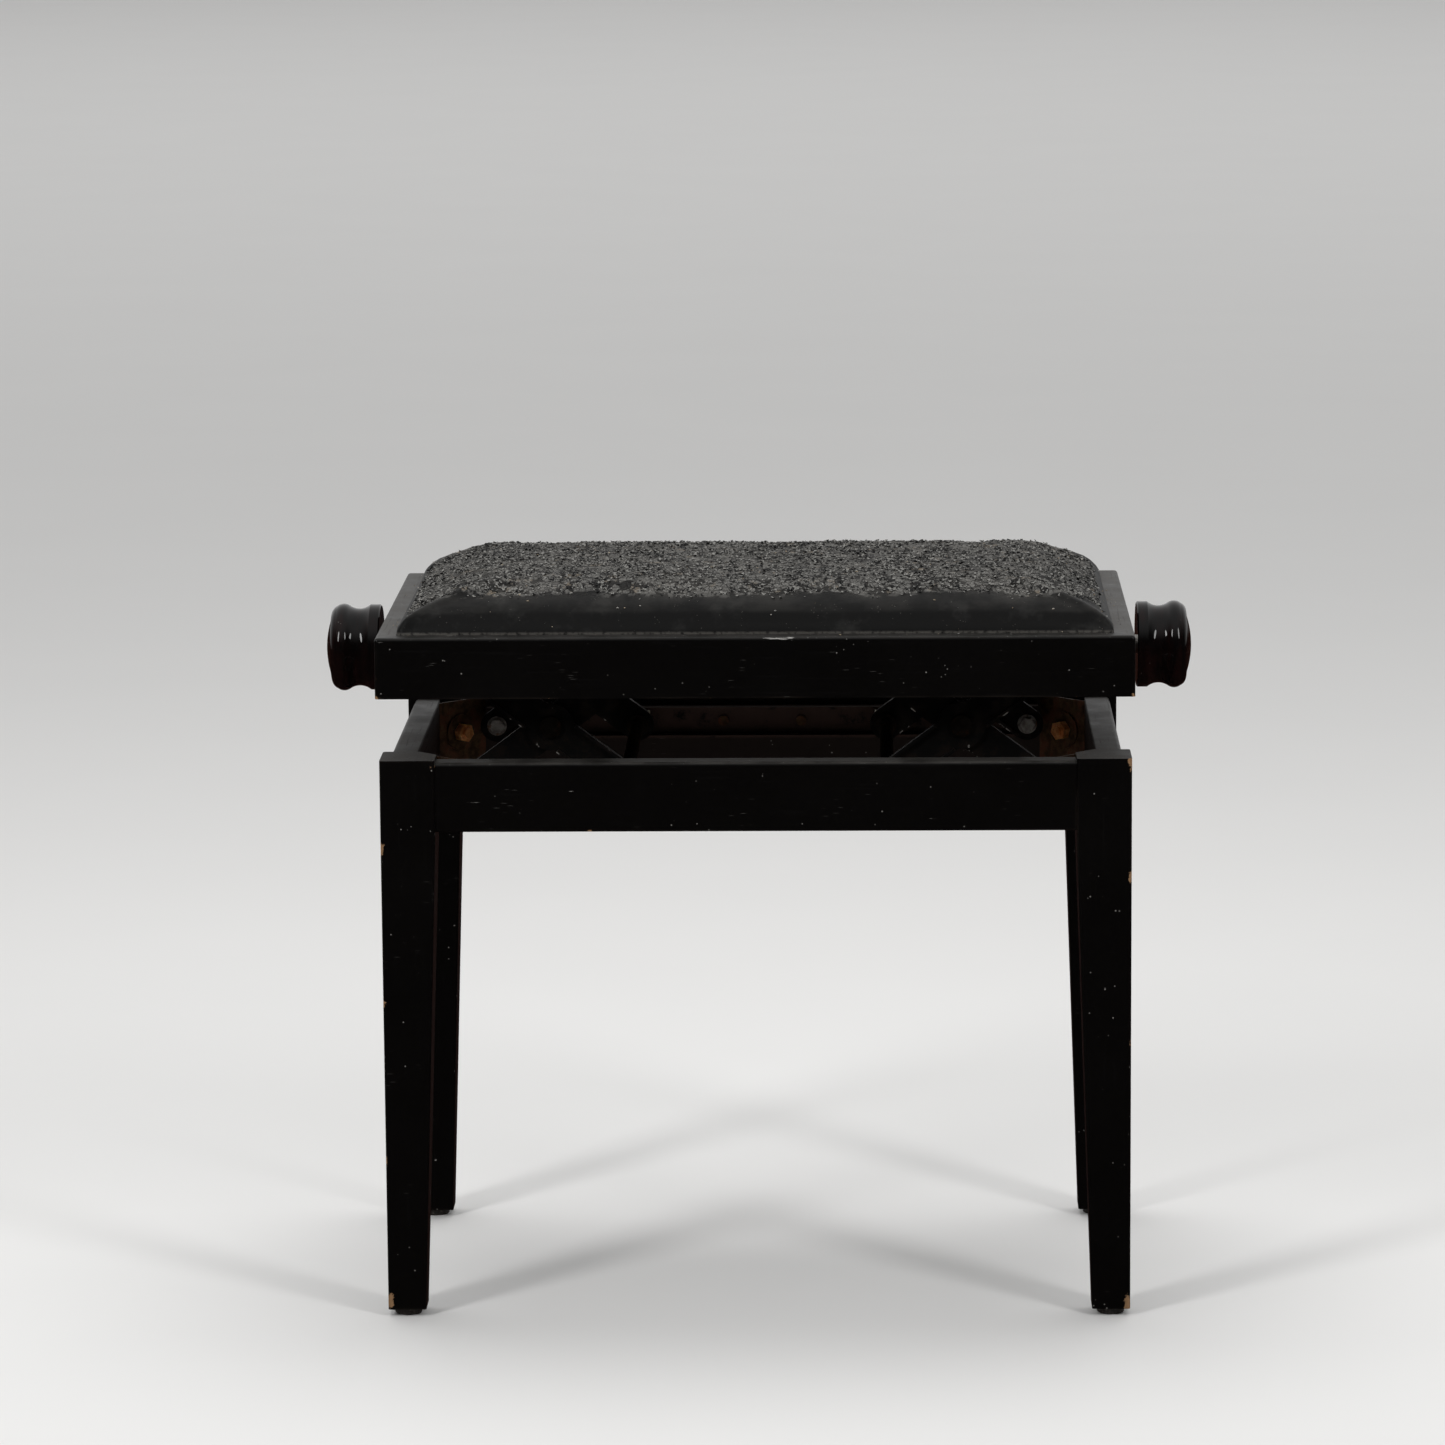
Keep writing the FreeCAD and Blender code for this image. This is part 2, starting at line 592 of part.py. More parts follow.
def make_seat_pad():
    outer_inset = border + cover_play
    inner_inset = outer_inset + cover_thickness
    crown = seat_top + pad_height
    outer = pad_solid(outer_inset, ledge, crown, pad_edge_round, pad_edge_round + pad_corner_round)
    inner = pad_solid(
        inner_inset, board_bottom, crown - cover_thickness,
        pad_edge_round - cover_thickness, pad_edge_round + pad_corner_round - cover_thickness,
    )
    w, d = seat_width / 2 - inner_inset - cover_return, seat_depth / 2 - inner_inset - cover_return
    opening = box(-w, w, -d, d, ledge - 1, board_bottom + 1)
    slab = box(-seat_width, seat_width, -seat_depth, seat_depth, board_bottom, board_top)
    c = corner_block
    tip = V(seat_inner_x, seat_inner_y, seat_bottom + corner_block_lift)
    block_height = ledge - side_play - tip.z
    block = prism([tip, tip - X * c, tip - Y * c], V(0, 0, block_height))
    seat = tip - V(board_screw_inset, board_screw_inset, 0)
    shank = rod(board_screw_radius, seat, Z, board_bottom + board_screw_in_board - seat.z)
    head = rod(board_screw_head_radius, seat - Z * board_screw_head_height, Z, board_screw_head_height)
    shanks = at_corners(shank)
    keep("seat_board", inner.common(slab).cut(shanks))
    keep("cushion_foam", inner.cut(slab))
    keep("cushion_cover", outer.cut([inner, opening]).cut(shanks))
    keep("seat_corner_blocks", at_corners(block.cut(shank)))
    board_screws = at_corners(shank.fuse(head).removeSplitter())
    keep("upper_wood_screws", nodes["upper_wood_screws"].Solids + board_screws)


hanger = make_corner_hardware()
make_legs(hanger)
make_aprons()
make_seat_frame()
make_scissors()
make_rails()
make_nuts_and_shoes()
make_screw()
make_seat_pad()

for name, shape in nodes.items():
    shape.exportStep("parts/" + name + ".step")
    print(name, "solids", len(shape.Solids), "volume", round(shape.Volume), "valid", shape.isValid())
print("nodes", len(nodes), "fold angle", round(fold_angle, 3))
print("outer", outer_x, "crossing", crossing_x, crossing_z, "inner", inner_x, "lower", lower_z, "upper", upper_z)
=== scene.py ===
import bpy
import bmesh
import math
import numpy as np
from mathutils import Matrix, Vector, noise


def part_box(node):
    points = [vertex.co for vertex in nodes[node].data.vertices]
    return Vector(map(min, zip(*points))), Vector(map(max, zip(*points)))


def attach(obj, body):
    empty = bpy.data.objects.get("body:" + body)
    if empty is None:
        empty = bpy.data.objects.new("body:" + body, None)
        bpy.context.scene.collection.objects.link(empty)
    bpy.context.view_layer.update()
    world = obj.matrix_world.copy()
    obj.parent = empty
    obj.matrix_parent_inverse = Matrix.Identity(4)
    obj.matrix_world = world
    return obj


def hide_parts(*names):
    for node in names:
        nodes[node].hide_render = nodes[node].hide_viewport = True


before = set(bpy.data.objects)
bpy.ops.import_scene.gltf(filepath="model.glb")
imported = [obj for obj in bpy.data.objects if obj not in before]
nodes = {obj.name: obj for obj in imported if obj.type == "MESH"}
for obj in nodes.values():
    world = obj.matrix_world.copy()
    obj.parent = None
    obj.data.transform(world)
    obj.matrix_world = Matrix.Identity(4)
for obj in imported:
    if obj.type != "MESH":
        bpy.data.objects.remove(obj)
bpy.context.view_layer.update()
mm = 0.001
print("bench: frame loaded,", len(nodes), "parts")


# node helpers

class Wire:
    # one output socket; arithmetic on it adds Math or Vector Math nodes
    def __init__(self, recipe, socket):
        self.recipe = recipe
        self.socket = socket

    def isVector(self):
        return self.socket.type in ("VECTOR", "RGBA")

    def combine(self, operation, first, second=0.0):
        vectors = any(isinstance(each, tuple) or (isinstance(each, Wire) and each.isVector())
                      for each in (first, second))
        kind = "ShaderNodeVectorMath" if vectors else "ShaderNodeMath"
        return self.recipe.node(kind, {"operation": operation}, {0: first, 1: second})

    def __add__(self, other):
        return self.combine("ADD", self, other)

    def __radd__(self, other):
        return self.combine("ADD", other, self)

    def __sub__(self, other):
        return self.combine("SUBTRACT", self, other)

    def __rsub__(self, other):
        return self.combine("SUBTRACT", other, self)

    def __mul__(self, other):
        return self.combine("MULTIPLY", self, other)

    def __rmul__(self, other):
        return self.combine("MULTIPLY", other, self)

    def __truediv__(self, other):
        return self.combine("DIVIDE", self, other)

    def __rtruediv__(self, other):
        return self.combine("DIVIDE", other, self)

    def __abs__(self):
        return self.combine("ABSOLUTE", self)

    def least(self, other):
        return self.combine("MINIMUM", self, other)

    def most(self, other):
        return self.combine("MAXIMUM", self, other)

    def above(self, limit):
        return self.combine("GREATER_THAN", self, limit)


class Recipe:
    # a node tree, and the one way nodes are added to it
    def __init__(self, tree):
        self.tree = tree

    def node(self, kind, settings=None, values=None, out=0):
        made = self.tree.nodes.new(kind)
        for key, value in (settings or {}).items():
            setattr(made, key, value)
        for key, value in (values or {}).items():
            self.feed(made.inputs[key], value)
        return Wire(self, made.outputs[out]) if made.outputs else None

    def feed(self, socket, value):
        if isinstance(value, Wire):
            self.tree.links.new(value.socket, socket)
        elif isinstance(value, list):
            for each in value:
                self.feed(socket, each)
        elif socket.type == "RGBA" and len(value) == 3:
            socket.default_value = (*value, 1.0)
        else:
            socket.default_value = value

    def parts(self, vector):
        split = self.node("ShaderNodeSeparateXYZ", None, {0: vector})
        return [Wire(self, output) for output in split.socket.node.outputs]

    def noise(self, at, scale, detail=3.0, roughness=0.5):
        return self.node("ShaderNodeTexNoise", None,
                         {"Vector": at, "Scale": scale, "Detail": detail, "Roughness": roughness})

    def cells(self, at, scale, feature="F1"):
        return self.node("ShaderNodeTexVoronoi", {"feature": feature}, {"Vector": at, "Scale": scale}, "Distance")

    def length(self, vector):
        return self.node("ShaderNodeVectorMath", {"operation": "LENGTH"}, {0: vector}, "Value")

    def smooth(self, value, low, high):
        # 0 at low, 1 at high, either way round
        return self.node("ShaderNodeMapRange", {"interpolation_type": "SMOOTHSTEP"},
                         {"Value": value, "From Min": low, "From Max": high})

    def blend(self, factor, first, second):
        return self.node("ShaderNodeMix", {"data_type": "RGBA"}, {0: factor, 6: first, 7: second}, 2)


class Finish(Recipe):
    # a material with one Principled shader; fixed numbers go straight on its sockets
    def __init__(self, name, **fixed):
        self.material = bpy.data.materials.new(name)
        self.material.use_nodes = True
        super().__init__(self.material.node_tree)
        self.tree.nodes.clear()
        self.shader = self.node("ShaderNodeBsdfPrincipled")
        self.node("ShaderNodeOutputMaterial", None, {"Surface": self.shader})
        self.paint(**fixed)
        self.place = self.node("ShaderNodeTexCoord", out="Object")

    def paint(self, **sockets):
        for key, value in sockets.items():
            self.feed(self.shader.socket.node.inputs[key.replace("_", " ")], value)
        return self.material

    def bump(self, height, distance, strength=1.0):
        return self.node("ShaderNodeBump", None,
                         {"Strength": strength, "Distance": distance, "Height": height})

    def facing(self, axis):
        return self.parts(self.node("ShaderNodeNewGeometry", out="Normal"))[axis]


# black lacquer on the legs, the aprons and the seat frame

lacquerLook = {
    "black": (0.0016, 0.0014, 0.0013),
    "rubbed": (0.012, 0.009, 0.007),
    "bareWood": (0.33, 0.19, 0.095),
    "dust": (0.125, 0.118, 0.108),
    "dustiness": 0.42,
    "shadedPiece": "seat_front_rail", "shadedDustiness": 0.15,    # painted shade: less dust on this piece darkens its top, as if under the cushion's front roll
    "speck": (0.33, 0.32, 0.30),
    "smear": (0.42, 0.41, 0.39),
    "inside": (0.013, 0.0068, 0.0046),    # thin brown stain on the inward faces
    "edgeWear": 1.7 * mm,
    "raggedRim": 7.0 * mm,
    "grainAcross": 150.0, "grainAlong": 5.0,
    "splitAlong": 0.55,     # wood splits off along the grain
    "grainDepth": 0.05 * mm,
    "legTop": 0.354,        # the taper starts here
    "legTaper": 0.012,      # taken off by the foot
    "legEase": -0.06,       # where the eased taper would end, below the floor
}

# where the lacquer is knocked off: centre and radius, in millimetres
chips = [
    ((-273, -162, 351), 3.4), ((-273, -162, 236), 2.2), ((-273, -161, 118), 1.8), ((-272, -162, 12), 4.2),
    ((273, -162, 413), 3.6), ((273, -162, 329), 3.0), ((273, -162, 205), 1.8), ((272, -162, 9), 4.6),
    ((273, 162, 300), 2.6), ((-273, 162, 180), 2.4), ((273, 161, 10), 4.0), ((-273, 162, 14), 3.8),
    ((-275, -165, 463), 1.9), ((275, -165, 463), 1.6), ((275, 165, 506), 2.2), ((-275, 165, 463), 2.4),
    ((-236, -160, 412), 1.8), ((60, 160, 363), 2.0), ((-120, -160, 363), 1.5),
]

# rubbed pale smears and plain scratches: centre, half lengths, in millimetres
smears = [
    ((19, -164, 505.2), (19, 3, 1.8)), ((26, -164, 506), (6, 3, 1.2)), ((-272, -163, 504), (4, 3, 1.5)),
    ((243, -163, 407.5), (5.5, 2, 0.9)),
    ((-205, -161, 385), (9, 2, 0.35)), ((-134, -161, 393), (3, 2, 0.5)), ((128, -161, 372), (6, 2, 0.3)),
    ((96, -166, 484), (8, 2, 0.3)), ((-160, -166, 476), (5, 2, 0.35)), ((140, 166, 488), (9, 2, 0.4)),
]


def touches(low, high, at, spare):
    # whether a mark's centre is on the piece with this box, or within spare of it
    return all(low[i] - spare < at[i] < high[i] + spare for i in range(3))


def blackLacquer(name, grain):
    # grain is the axis that the wood runs along: 0, 1 or 2
    look = lacquerLook
    low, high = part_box(name)
    finish = Finish(name + "_lacquer", Specular_IOR_Level=0.2)
    place = finish.place
    x, y, z = finish.parts(place)

    # how far the nearest edge is: the middle one of the distances to the three pairs of faces
    cut = 0.0
    if grain == 2:
        cut = finish.smooth(z, look["legTop"], look["legEase"]) * look["legTaper"]
    sideX, sideY = (1 if low.x < -0.2 else -1), (1 if low.y < 0 else -1)
    dx = (x - low.x - (cut if sideX < 0 else 0.0)).least(high.x - x - (cut if sideX > 0 else 0.0))
    dy = (y - low.y - (cut if sideY < 0 else 0.0)).least(high.y - y - (cut if sideY > 0 else 0.0))
    dz = (z - low.z).least(high.z - z)
    edge = dx.least(dy).most(dx.most(dy).least(dz))

    # long open grain, fine satin texture
    stretch = [look["grainAcross"]] * 3
    stretch[grain] = look["grainAlong"]
    fibres = finish.noise(place * tuple(stretch), 1.6, 4.0, 0.6)
    pores = finish.smooth(finish.noise(place * tuple(v * 1.7 for v in stretch), 2.2, 2.0), 0.60, 0.72)
    cloud = finish.noise(place, 16.0, 5.0, 0.6)
    fine = finish.noise(place, 900.0, 3.0, 0.6)

    # chips: small hollows with a ragged rim, at the listed places and along the edges
    ragged = (finish.noise(place, 330.0, 4.0, 0.7) - 0.5) * look["raggedRim"]
    squeeze = [1.0, 1.0, 1.0]
    squeeze[grain] = look["splitAlong"]
    bare = finish.smooth(finish.noise(place, 210.0, 4.0, 0.7) - edge * 95.0, 0.655, 0.70)
    for centre, radius in chips:
        at = Vector(centre) * mm
        if touches(low, high, at, 4.0 * mm):
            away = finish.length((place - tuple(at)) * tuple(squeeze))
            bare = bare.most(finish.smooth(away + ragged, radius * 0.80 * mm, radius * 0.66 * mm))
    rubbed = finish.smooth(edge, look["edgeWear"], 0.2 * mm) * finish.smooth(cloud, 0.42, 0.62)

    # dust lies on what faces up; specks and hair scratches are everywhere
    upward = finish.smooth(finish.facing(2), 0.35, 0.9)
    settled = upward * (0.35 + 0.65 * finish.smooth(finish.noise(place, 38.0, 5.0, 0.65), 0.30, 0.66))
    dots = finish.smooth(finish.cells(place, 240.0), 0.17, 0.08)
    rare = finish.smooth(finish.noise(place, 75.0, 2.0), 0.61, 0.67)
    specks = dots * (rare * 0.8 + upward * 0.25).least(1.0)
    scratches = 0.0
    for angles, sparse in (((0.2, 0.35, 0.1), 0.56), ((0.1, -0.8, 0.3), 0.60)):
        turned = finish.node("ShaderNodeMapping", None,
                             {"Vector": place, "Rotation": angles, "Scale": (34.0, 60.0, 900.0)})
        needle = finish.smooth(finish.cells(turned, 1.0), 0.11, 0.04)
        scratches = (needle * finish.smooth(finish.noise(place, 24.0, 2.0), sparse, sparse + 0.06)).most(scratches)

    rub = 0.0
    for centre, half in smears:
        at = Vector(centre) * mm
        if touches(low, high, at, 6.0 * mm):
            away = finish.length((place - tuple(at)) * tuple(1.0 / (h * mm) for h in half))
            streaks = finish.noise(place * (70.0, 500.0, 1500.0), 1.0, 3.0, 0.7)
            rub = (finish.smooth(away * 0.32 + streaks, 0.66, 0.54) * 0.8).most(rub)

    colour = finish.blend(cloud, look["black"], tuple(v * 1.7 for v in look["black"]))
    inside = 0.0
    if grain != 2:                 # rails and aprons: the faces turned to the bench's middle
        outward = x * finish.facing(0) + y * finish.facing(1)
        inside = finish.smooth(outward, -0.09, -0.12)
        colour = finish.blend(inside, colour, look["inside"])
    colour = finish.blend(rubbed * 0.6, colour, look["rubbed"])
    # painted shade: the front seat rail gets less dust, so its top reads darker, like the shadow of the cushion's
    # front roll
    dustiness = look["shadedDustiness"] if name == look["shadedPiece"] else look["dustiness"]
    colour = finish.blend(settled * dustiness, colour, look["dust"])
    colour = finish.blend((specks + scratches * 0.30).least(1.0) * 0.75, colour, look["speck"])
    colour = finish.blend(rub, colour, look["smear"])
    wood = finish.blend(fibres, look["bareWood"], tuple(v * 0.45 for v in look["bareWood"]))
    colour = finish.blend(bare, colour, wood)
    roughness = inside * 0.25 + cloud * 0.12 + settled * 0.22 + pores * 0.1 + bare * 0.3 + 0.24
    height = (fibres * 0.5 - pores * (0.5 + upward * 0.9) + fine * 0.25
              - bare * 6.0 - scratches * 0.8 + specks * 1.2)
    return finish.paint(Base_Color=colour, Roughness=roughness.least(0.9),
                        Normal=finish.bump(height, look["grainDepth"]))


lacquered = {
    0: ["front_apron", "back_apron", "seat_front_rail", "seat_back_rail"],
    1: ["left_side_apron", "right_side_apron", "seat_left_rail", "seat_right_rail"],
    2: ["front_left_leg", "front_right_leg", "back_left_leg", "back_right_leg"],
}


def dress(names, material):
    for name in names:
        nodes[name].material_slots[0].material = material


for grain, names in lacquered.items():
    for name in names:
        dress([name], blackLacquer(name, grain))
print("bench: lacquer done")


# knobs, glides, metal and bare wood

knobLook = {
    "black": (0.0022, 0.0017, 0.0017), "mahogany": (0.0075, 0.0028, 0.0026), "speck": (0.16, 0.15, 0.14),
    "gloss": 0.035,
}


def knobGloss():
    look = knobLook
    finish = Finish("knob_gloss_lacquer", Specular_IOR_Level=0.22,
                    Coat_Weight=0.15, Coat_Roughness=0.02, Coat_IOR=1.4)
    place = finish.place
    bands = finish.noise(place * (260.0, 30.0, 30.0), 1.0, 3.0, 0.6)   # the turned wood under the lacquer
    cloud = finish.noise(place, 42.0, 4.0, 0.6)
    peel = finish.noise(place, 300.0, 2.0)
    dots = finish.smooth(finish.cells(place, 330.0), 0.12, 0.06) * finish.smooth(cloud, 0.56, 0.64)
    colour = finish.blend(finish.smooth(bands * cloud, 0.16, 0.42), look["black"], look["mahogany"])
    colour = finish.blend(dots * 0.7, colour, look["speck"])
    roughness = look["gloss"] + finish.smooth(cloud, 0.5, 0.75) * 0.06 + dots * 0.4
    height = peel * 0.22 + bands * 0.10 + dots
    return finish.paint(Base_Color=colour, Roughness=roughness, Normal=finish.bump(height, 0.02 * mm))


def glidePlastic():
    finish = Finish("glide_plastic", Specular_IOR_Level=0.4)
    scuffs = finish.noise(finish.place, 500.0, 4.0, 0.7)
    cloud = finish.noise(finish.place, 120.0, 3.0)
    colour = finish.blend(finish.smooth(scuffs, 0.5, 0.75), (0.030, 0.026, 0.022), (0.13, 0.115, 0.095))
    return finish.paint(Base_Color=colour, Roughness=0.45 + cloud * 0.3, Normal=finish.bump(scuffs, 0.12 * mm))


metalLooks = {
    # clean colour, tarnish, rust, how much rust, roughness, metallic
    "bracket_brown": ((0.060, 0.034, 0.016), (0.026, 0.014, 0.007), (0.050, 0.017, 0.008), 0.52, 0.42, 0.55),
    "nut_copper": ((0.95, 0.50, 0.20), (0.70, 0.30, 0.10), (0.22, 0.070, 0.024), 0.60, 0.30, 0.90),
    "bar_steel": ((0.0060, 0.0048, 0.0040), (0.0035, 0.0028, 0.0022), (0.012, 0.0055, 0.0035), 0.56, 0.70, 0.0),
    "bright_steel": ((0.50, 0.48, 0.45), (0.27, 0.25, 0.23), (0.12, 0.052, 0.025), 0.60, 0.28, 0.82),
    "dull_steel": ((0.20, 0.19, 0.175), (0.095, 0.085, 0.075), (0.060, 0.028, 0.014), 0.57, 0.42, 0.6),
    "brass": ((0.66, 0.49, 0.20), (0.34, 0.23, 0.09), (0.11, 0.08, 0.03), 0.60, 0.30, 1.0),
}


def wornMetal(name):
    clean, tarnish, rust, limit, rough, metal = metalLooks[name]
    finish = Finish(name + "_worn", Specular_IOR_Level=0.2 * metal)
    place = finish.place
    cloud = finish.noise(place, 95.0, 5.0, 0.62)
    grit = finish.noise(place, 620.0, 4.0, 0.7)
    rusty = finish.smooth(cloud * 0.7 + grit * 0.3, limit - 0.05, limit + 0.07)
    dots = finish.smooth(finish.cells(place, 520.0), 0.2, 0.08) * finish.smooth(grit, 0.52, 0.62)
    colour = finish.blend(finish.smooth(finish.noise(place, 210.0, 3.0), 0.35, 0.65), clean, tarnish)
    colour = finish.blend(rusty.most(dots), colour, rust)
    height = grit * 0.4 + rusty * 0.8 + dots
    return finish.paint(Base_Color=colour, Metallic=metal - rusty * 0.75 * metal,
                        Roughness=rough + grit * 0.16 + rusty * 0.34, Normal=finish.bump(height, 0.05 * mm))


armLook = {
    "paint": (0.0018, 0.0016, 0.0014), "brown": (0.0070, 0.0042, 0.0026), "bare": (0.46, 0.44, 0.41),
    "rail": (0.024, 0.0125, 0.0095), "dust": (0.070, 0.060, 0.048),
    "halfWidth": 12.5 * mm,
}


def blackSteel(name, start=None, end=None, brown="brown"):
    # start and end are an arm's end pivots in x and z; its long edges are painted bare here and there, partly as
    # wear and partly as a painted highlight for the glint on their edges
    look = armLook
    finish = Finish(name + "_black_steel", Specular_IOR_Level=0.13)
    place = finish.place
    cloud = finish.noise(place, 60.0, 5.0, 0.62)
    grit = finish.noise(place, 520.0, 4.0, 0.7)
    stained = finish.smooth(cloud * 0.65 + grit * 0.35 + (0.15 if brown == "rail" else 0.0), 0.49, 0.60)
    dusty = finish.smooth(finish.facing(2), 0.3, 0.9) * finish.smooth(cloud, 0.3, 0.6)
    bare = finish.smooth(grit * 0.5 + cloud * 0.5, 0.67, 0.71)
    if start is not None:
        x, _, z = finish.parts(place)
        run, rise = end[0] - start[0], end[1] - start[1]
        long = math.hypot(run, rise)
        across = abs((x - start[0]) * (rise / long) - (z - start[1]) * (run / long))
        # painted highlight: a thin bare-metal rim along the arm's long edges stands in for the glint of light on
        # them, mixed with real edge wear
        rim = finish.smooth(across, look["halfWidth"] - 1.1 * mm, look["halfWidth"] - 0.4 * mm)
        bare = bare.most(rim * finish.smooth(cloud, 0.62, 0.67) * 0.8)
    colour = finish.blend(stained, look["paint"], look[brown])
    colour = finish.blend(dusty * 0.16, colour, look["dust"])
    colour = finish.blend(bare, colour, look["bare"])
    return finish.paint(Base_Color=colour, Metallic=bare * 0.9, Roughness=0.52 + stained * 0.2 + grit * 0.1,
                        Normal=finish.bump(grit + stained * 0.6, 0.07 * mm))


woodLook = {
    "early": (0.47, 0.31, 0.17), "late": (0.33, 0.19, 0.095), "fibre": (0.17, 0.095, 0.05),
    "stain": (0.15, 0.10, 0.06),
    "across": 70.0, "along": 4.0,
}


def plainWood(name, grain):
    look = woodLook
    finish = Finish(name + "_plain_wood", Specular_IOR_Level=0.3)
    stretch = [look["across"]] * 3
    stretch[grain] = look["along"]
    at = finish.place * tuple(stretch)
    growth = finish.node("ShaderNodeTexWave", {"wave_type": "BANDS", "bands_direction": "Z"},
                         {"Vector": at, "Scale": 0.35, "Distortion": 5.0, "Detail": 3.0}, "Fac")
    fibres = finish.noise(finish.place * tuple(v * 4 for v in stretch), 1.0, 4.0, 0.65)
    stain = finish.noise(finish.place, 14.0, 4.0, 0.6)
    colour = finish.blend(growth, look["early"], look["late"])
    colour = finish.blend(finish.smooth(fibres, 0.45, 0.75) * 0.6, colour, look["fibre"])
    colour = finish.blend(finish.smooth(stain, 0.5, 0.75) * 0.5, colour, look["stain"])
    return finish.paint(Base_Color=colour, Roughness=0.62 + fibres * 0.2,
                        Normal=finish.bump(fibres, 0.10 * mm))


def shoeNylon():
    finish = Finish("shoe_nylon")
    grease = finish.smooth(finish.noise(finish.place, 120.0, 4.0, 0.6), 0.45, 0.62)
    rubs = finish.noise(finish.place * (30.0, 500.0, 500.0), 1.0, 3.0)
    colour = finish.blend(grease, (0.52, 0.49, 0.42), (0.14, 0.105, 0.06))
    return finish.paint(Base_Color=colour, Roughness=0.5 - grease * 0.2, Normal=finish.bump(rubs, 0.05 * mm))


def armEnds(name):
    # the two end pivots of an arm, in x and z
    low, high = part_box(name)
    reach = armLook["halfWidth"]
    inX, outX = sorted((abs(low.x), abs(high.x)))
    side = -1 if low.x < 0 else 1
    startX, endX = (inX + reach, outX - reach) if "brace" in name else (outX - reach, inX + reach)
    return (startX * side, low.z + reach), (endX * side, high.z - reach)


dress(["left_knob", "right_knob"], knobGloss())
dress(["foot_glides"], glidePlastic())
dress(["corner_brackets", "hanger_washers", "lower_wood_screws", "upper_wood_screws"], wornMetal("bracket_brown"))
dress(["hanger_nuts", "hanger_bolts"], wornMetal("nut_copper"))
dress(["screw_rods", "screw_coupling", "coupling_pins", "screw_collars", "thrust_washers", "knob_set_screws"],
      wornMetal("bright_steel"))
dress(["lower_pivot_bolts", "lower_pivot_spacers", "upper_pivot_bolts", "upper_pivot_spacers"],
      wornMetal("dull_steel"))
dress(["left_slide_bar", "right_slide_bar", "left_crossing_rivets", "right_crossing_rivets"],
      wornMetal("bar_steel"))
dress(["screw_bushes"], wornMetal("brass"))
dress(["lower_rail_front", "lower_rail_rear", "upper_rail_front", "upper_rail_rear",
       "left_screw_nut", "right_screw_nut"], blackSteel("rail", brown="rail"))
for side in ("left_", "right_"):
    for arm in ("lift_arm_front", "lift_arm_rear", "brace_arm_front", "brace_arm_rear"):
        dress([side + arm], blackSteel(side + arm, *armEnds(side + arm)))
    dress([side + "lift_tie"], blackSteel(side + "lift_tie"))
dress(["seat_board"], plainWood("board", 0))
dress(["seat_corner_blocks"], plainWood("corner_block", 1))
dress(["left_lower_shoes", "right_lower_shoes", "left_upper_shoes", "right_upper_shoes"], shoeNylon())
print("bench: metal, knobs and bare wood done")


# mesh helpers

def linked(name, data):
    obj = bpy.data.objects.new(name, data)
    bpy.context.scene.collection.objects.link(obj)
    return obj


def meshData(name, mesh):
    data = bpy.data.meshes.new(name)
    mesh.to_mesh(data)
    mesh.free()
    return data


def applyModifiers(obj):
    graph = bpy.context.evaluated_depsgraph_get()
    made = bpy.data.meshes.new_from_object(obj.evaluated_get(graph), preserve_all_data_layers=True,
                                           depsgraph=graph)
    obj.modifiers.clear()
    obj.data = made


def places(obj):
    flat = np.empty(len(obj.data.vertices) * 3, np.float32)
    obj.data.vertices.foreach_get("co", flat)
    return flat.reshape(-1, 3).astype(float)


def putPlaces(obj, points):
    obj.data.vertices.foreach_set("co", points.astype(np.float32).ravel())
    obj.data.update()


# the cushion

cushion = {
    "startLow": 2.6 * mm,      # it starts this much flatter and swells
    "startWide": 1.4 * mm,     # and this much wider, as swelling draws its foot in
    "startLift": 0.3 * mm,     # clear of the seat board
    "steps": (104, 60),
    "wall": 6.5 * mm,          # upright edge above the frame
    "rollX": 66.0 * mm,        # how far in the end rolls reach
    "rollY": 47.0 * mm,        # the same for the front and back rolls
    "rollRise": 25.5 * mm,
    "corner": 6.0 * mm,
    "mitre": 0.72,             # 1 gives a hard mitred corner, 0 a soft pillow corner
    "voxel": 5.0 * mm,
    "pressure": 4.0,
    "frames": 20,
    "overlap": 0.9 * mm,       # the wall laps the frame's top by this much
    "clearance": 0.2 * mm,     # and below it stays this far inside the frame
    "heldBelow": 1.0 * mm,     # what is lower than this above the frame doesn't swell
    "mostMove": 5.0 * mm,
    "lumps": 0.55 * mm,
    "lumpsFrom": 10.0 * mm,    # height above the frame where the lumps are at their full depth
    "pullsFrom": 8.0 * mm, "pullsTo": 26.0 * mm,
}
coverLow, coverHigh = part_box("cushion_cover")
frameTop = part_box("seat_front_rail")[1].z


def padTop(x, y, halfX, halfY):
    # height above the seat frame of the pad's upper skin at x, y
    c = cushion
    toX, toY = max(halfX - abs(x), 0.0), max(halfY - abs(y), 0.0)
    fullness = 2.2

    def rise(part):
        return max(0.0, 1.0 - (1.0 - min(part, 1.0)) ** fullness) ** (1 / fullness)

    endRise, longRise = rise(toX / c["rollX"]), rise(toY / c["rollY"])
    body = c["mitre"] * min(endRise, longRise) + (1.0 - c["mitre"]) * endRise * longRise
    crown = coverHigh.z - frameTop - c["wall"] - c["rollRise"]
    bow = (1.0 - (x / halfX) ** 6) * (1.0 - (y / halfY) ** 2)
    return c["wall"] + c["rollRise"] * body + crown * bow


def roundCorner(x, y, halfX, halfY):
    # moves a point of the square plan onto the plan with rounded corners
    inX, inY = halfX - cushion["corner"], halfY - cushion["corner"]
    outX, outY = abs(x) - inX, abs(y) - inY
    if outX <= 0 or outY <= 0:
        return x, y
    pull = max(outX, outY) / math.hypot(outX, outY)
    return math.copysign(inX + outX * pull, x), math.copysign(inY + outY * pull, y)


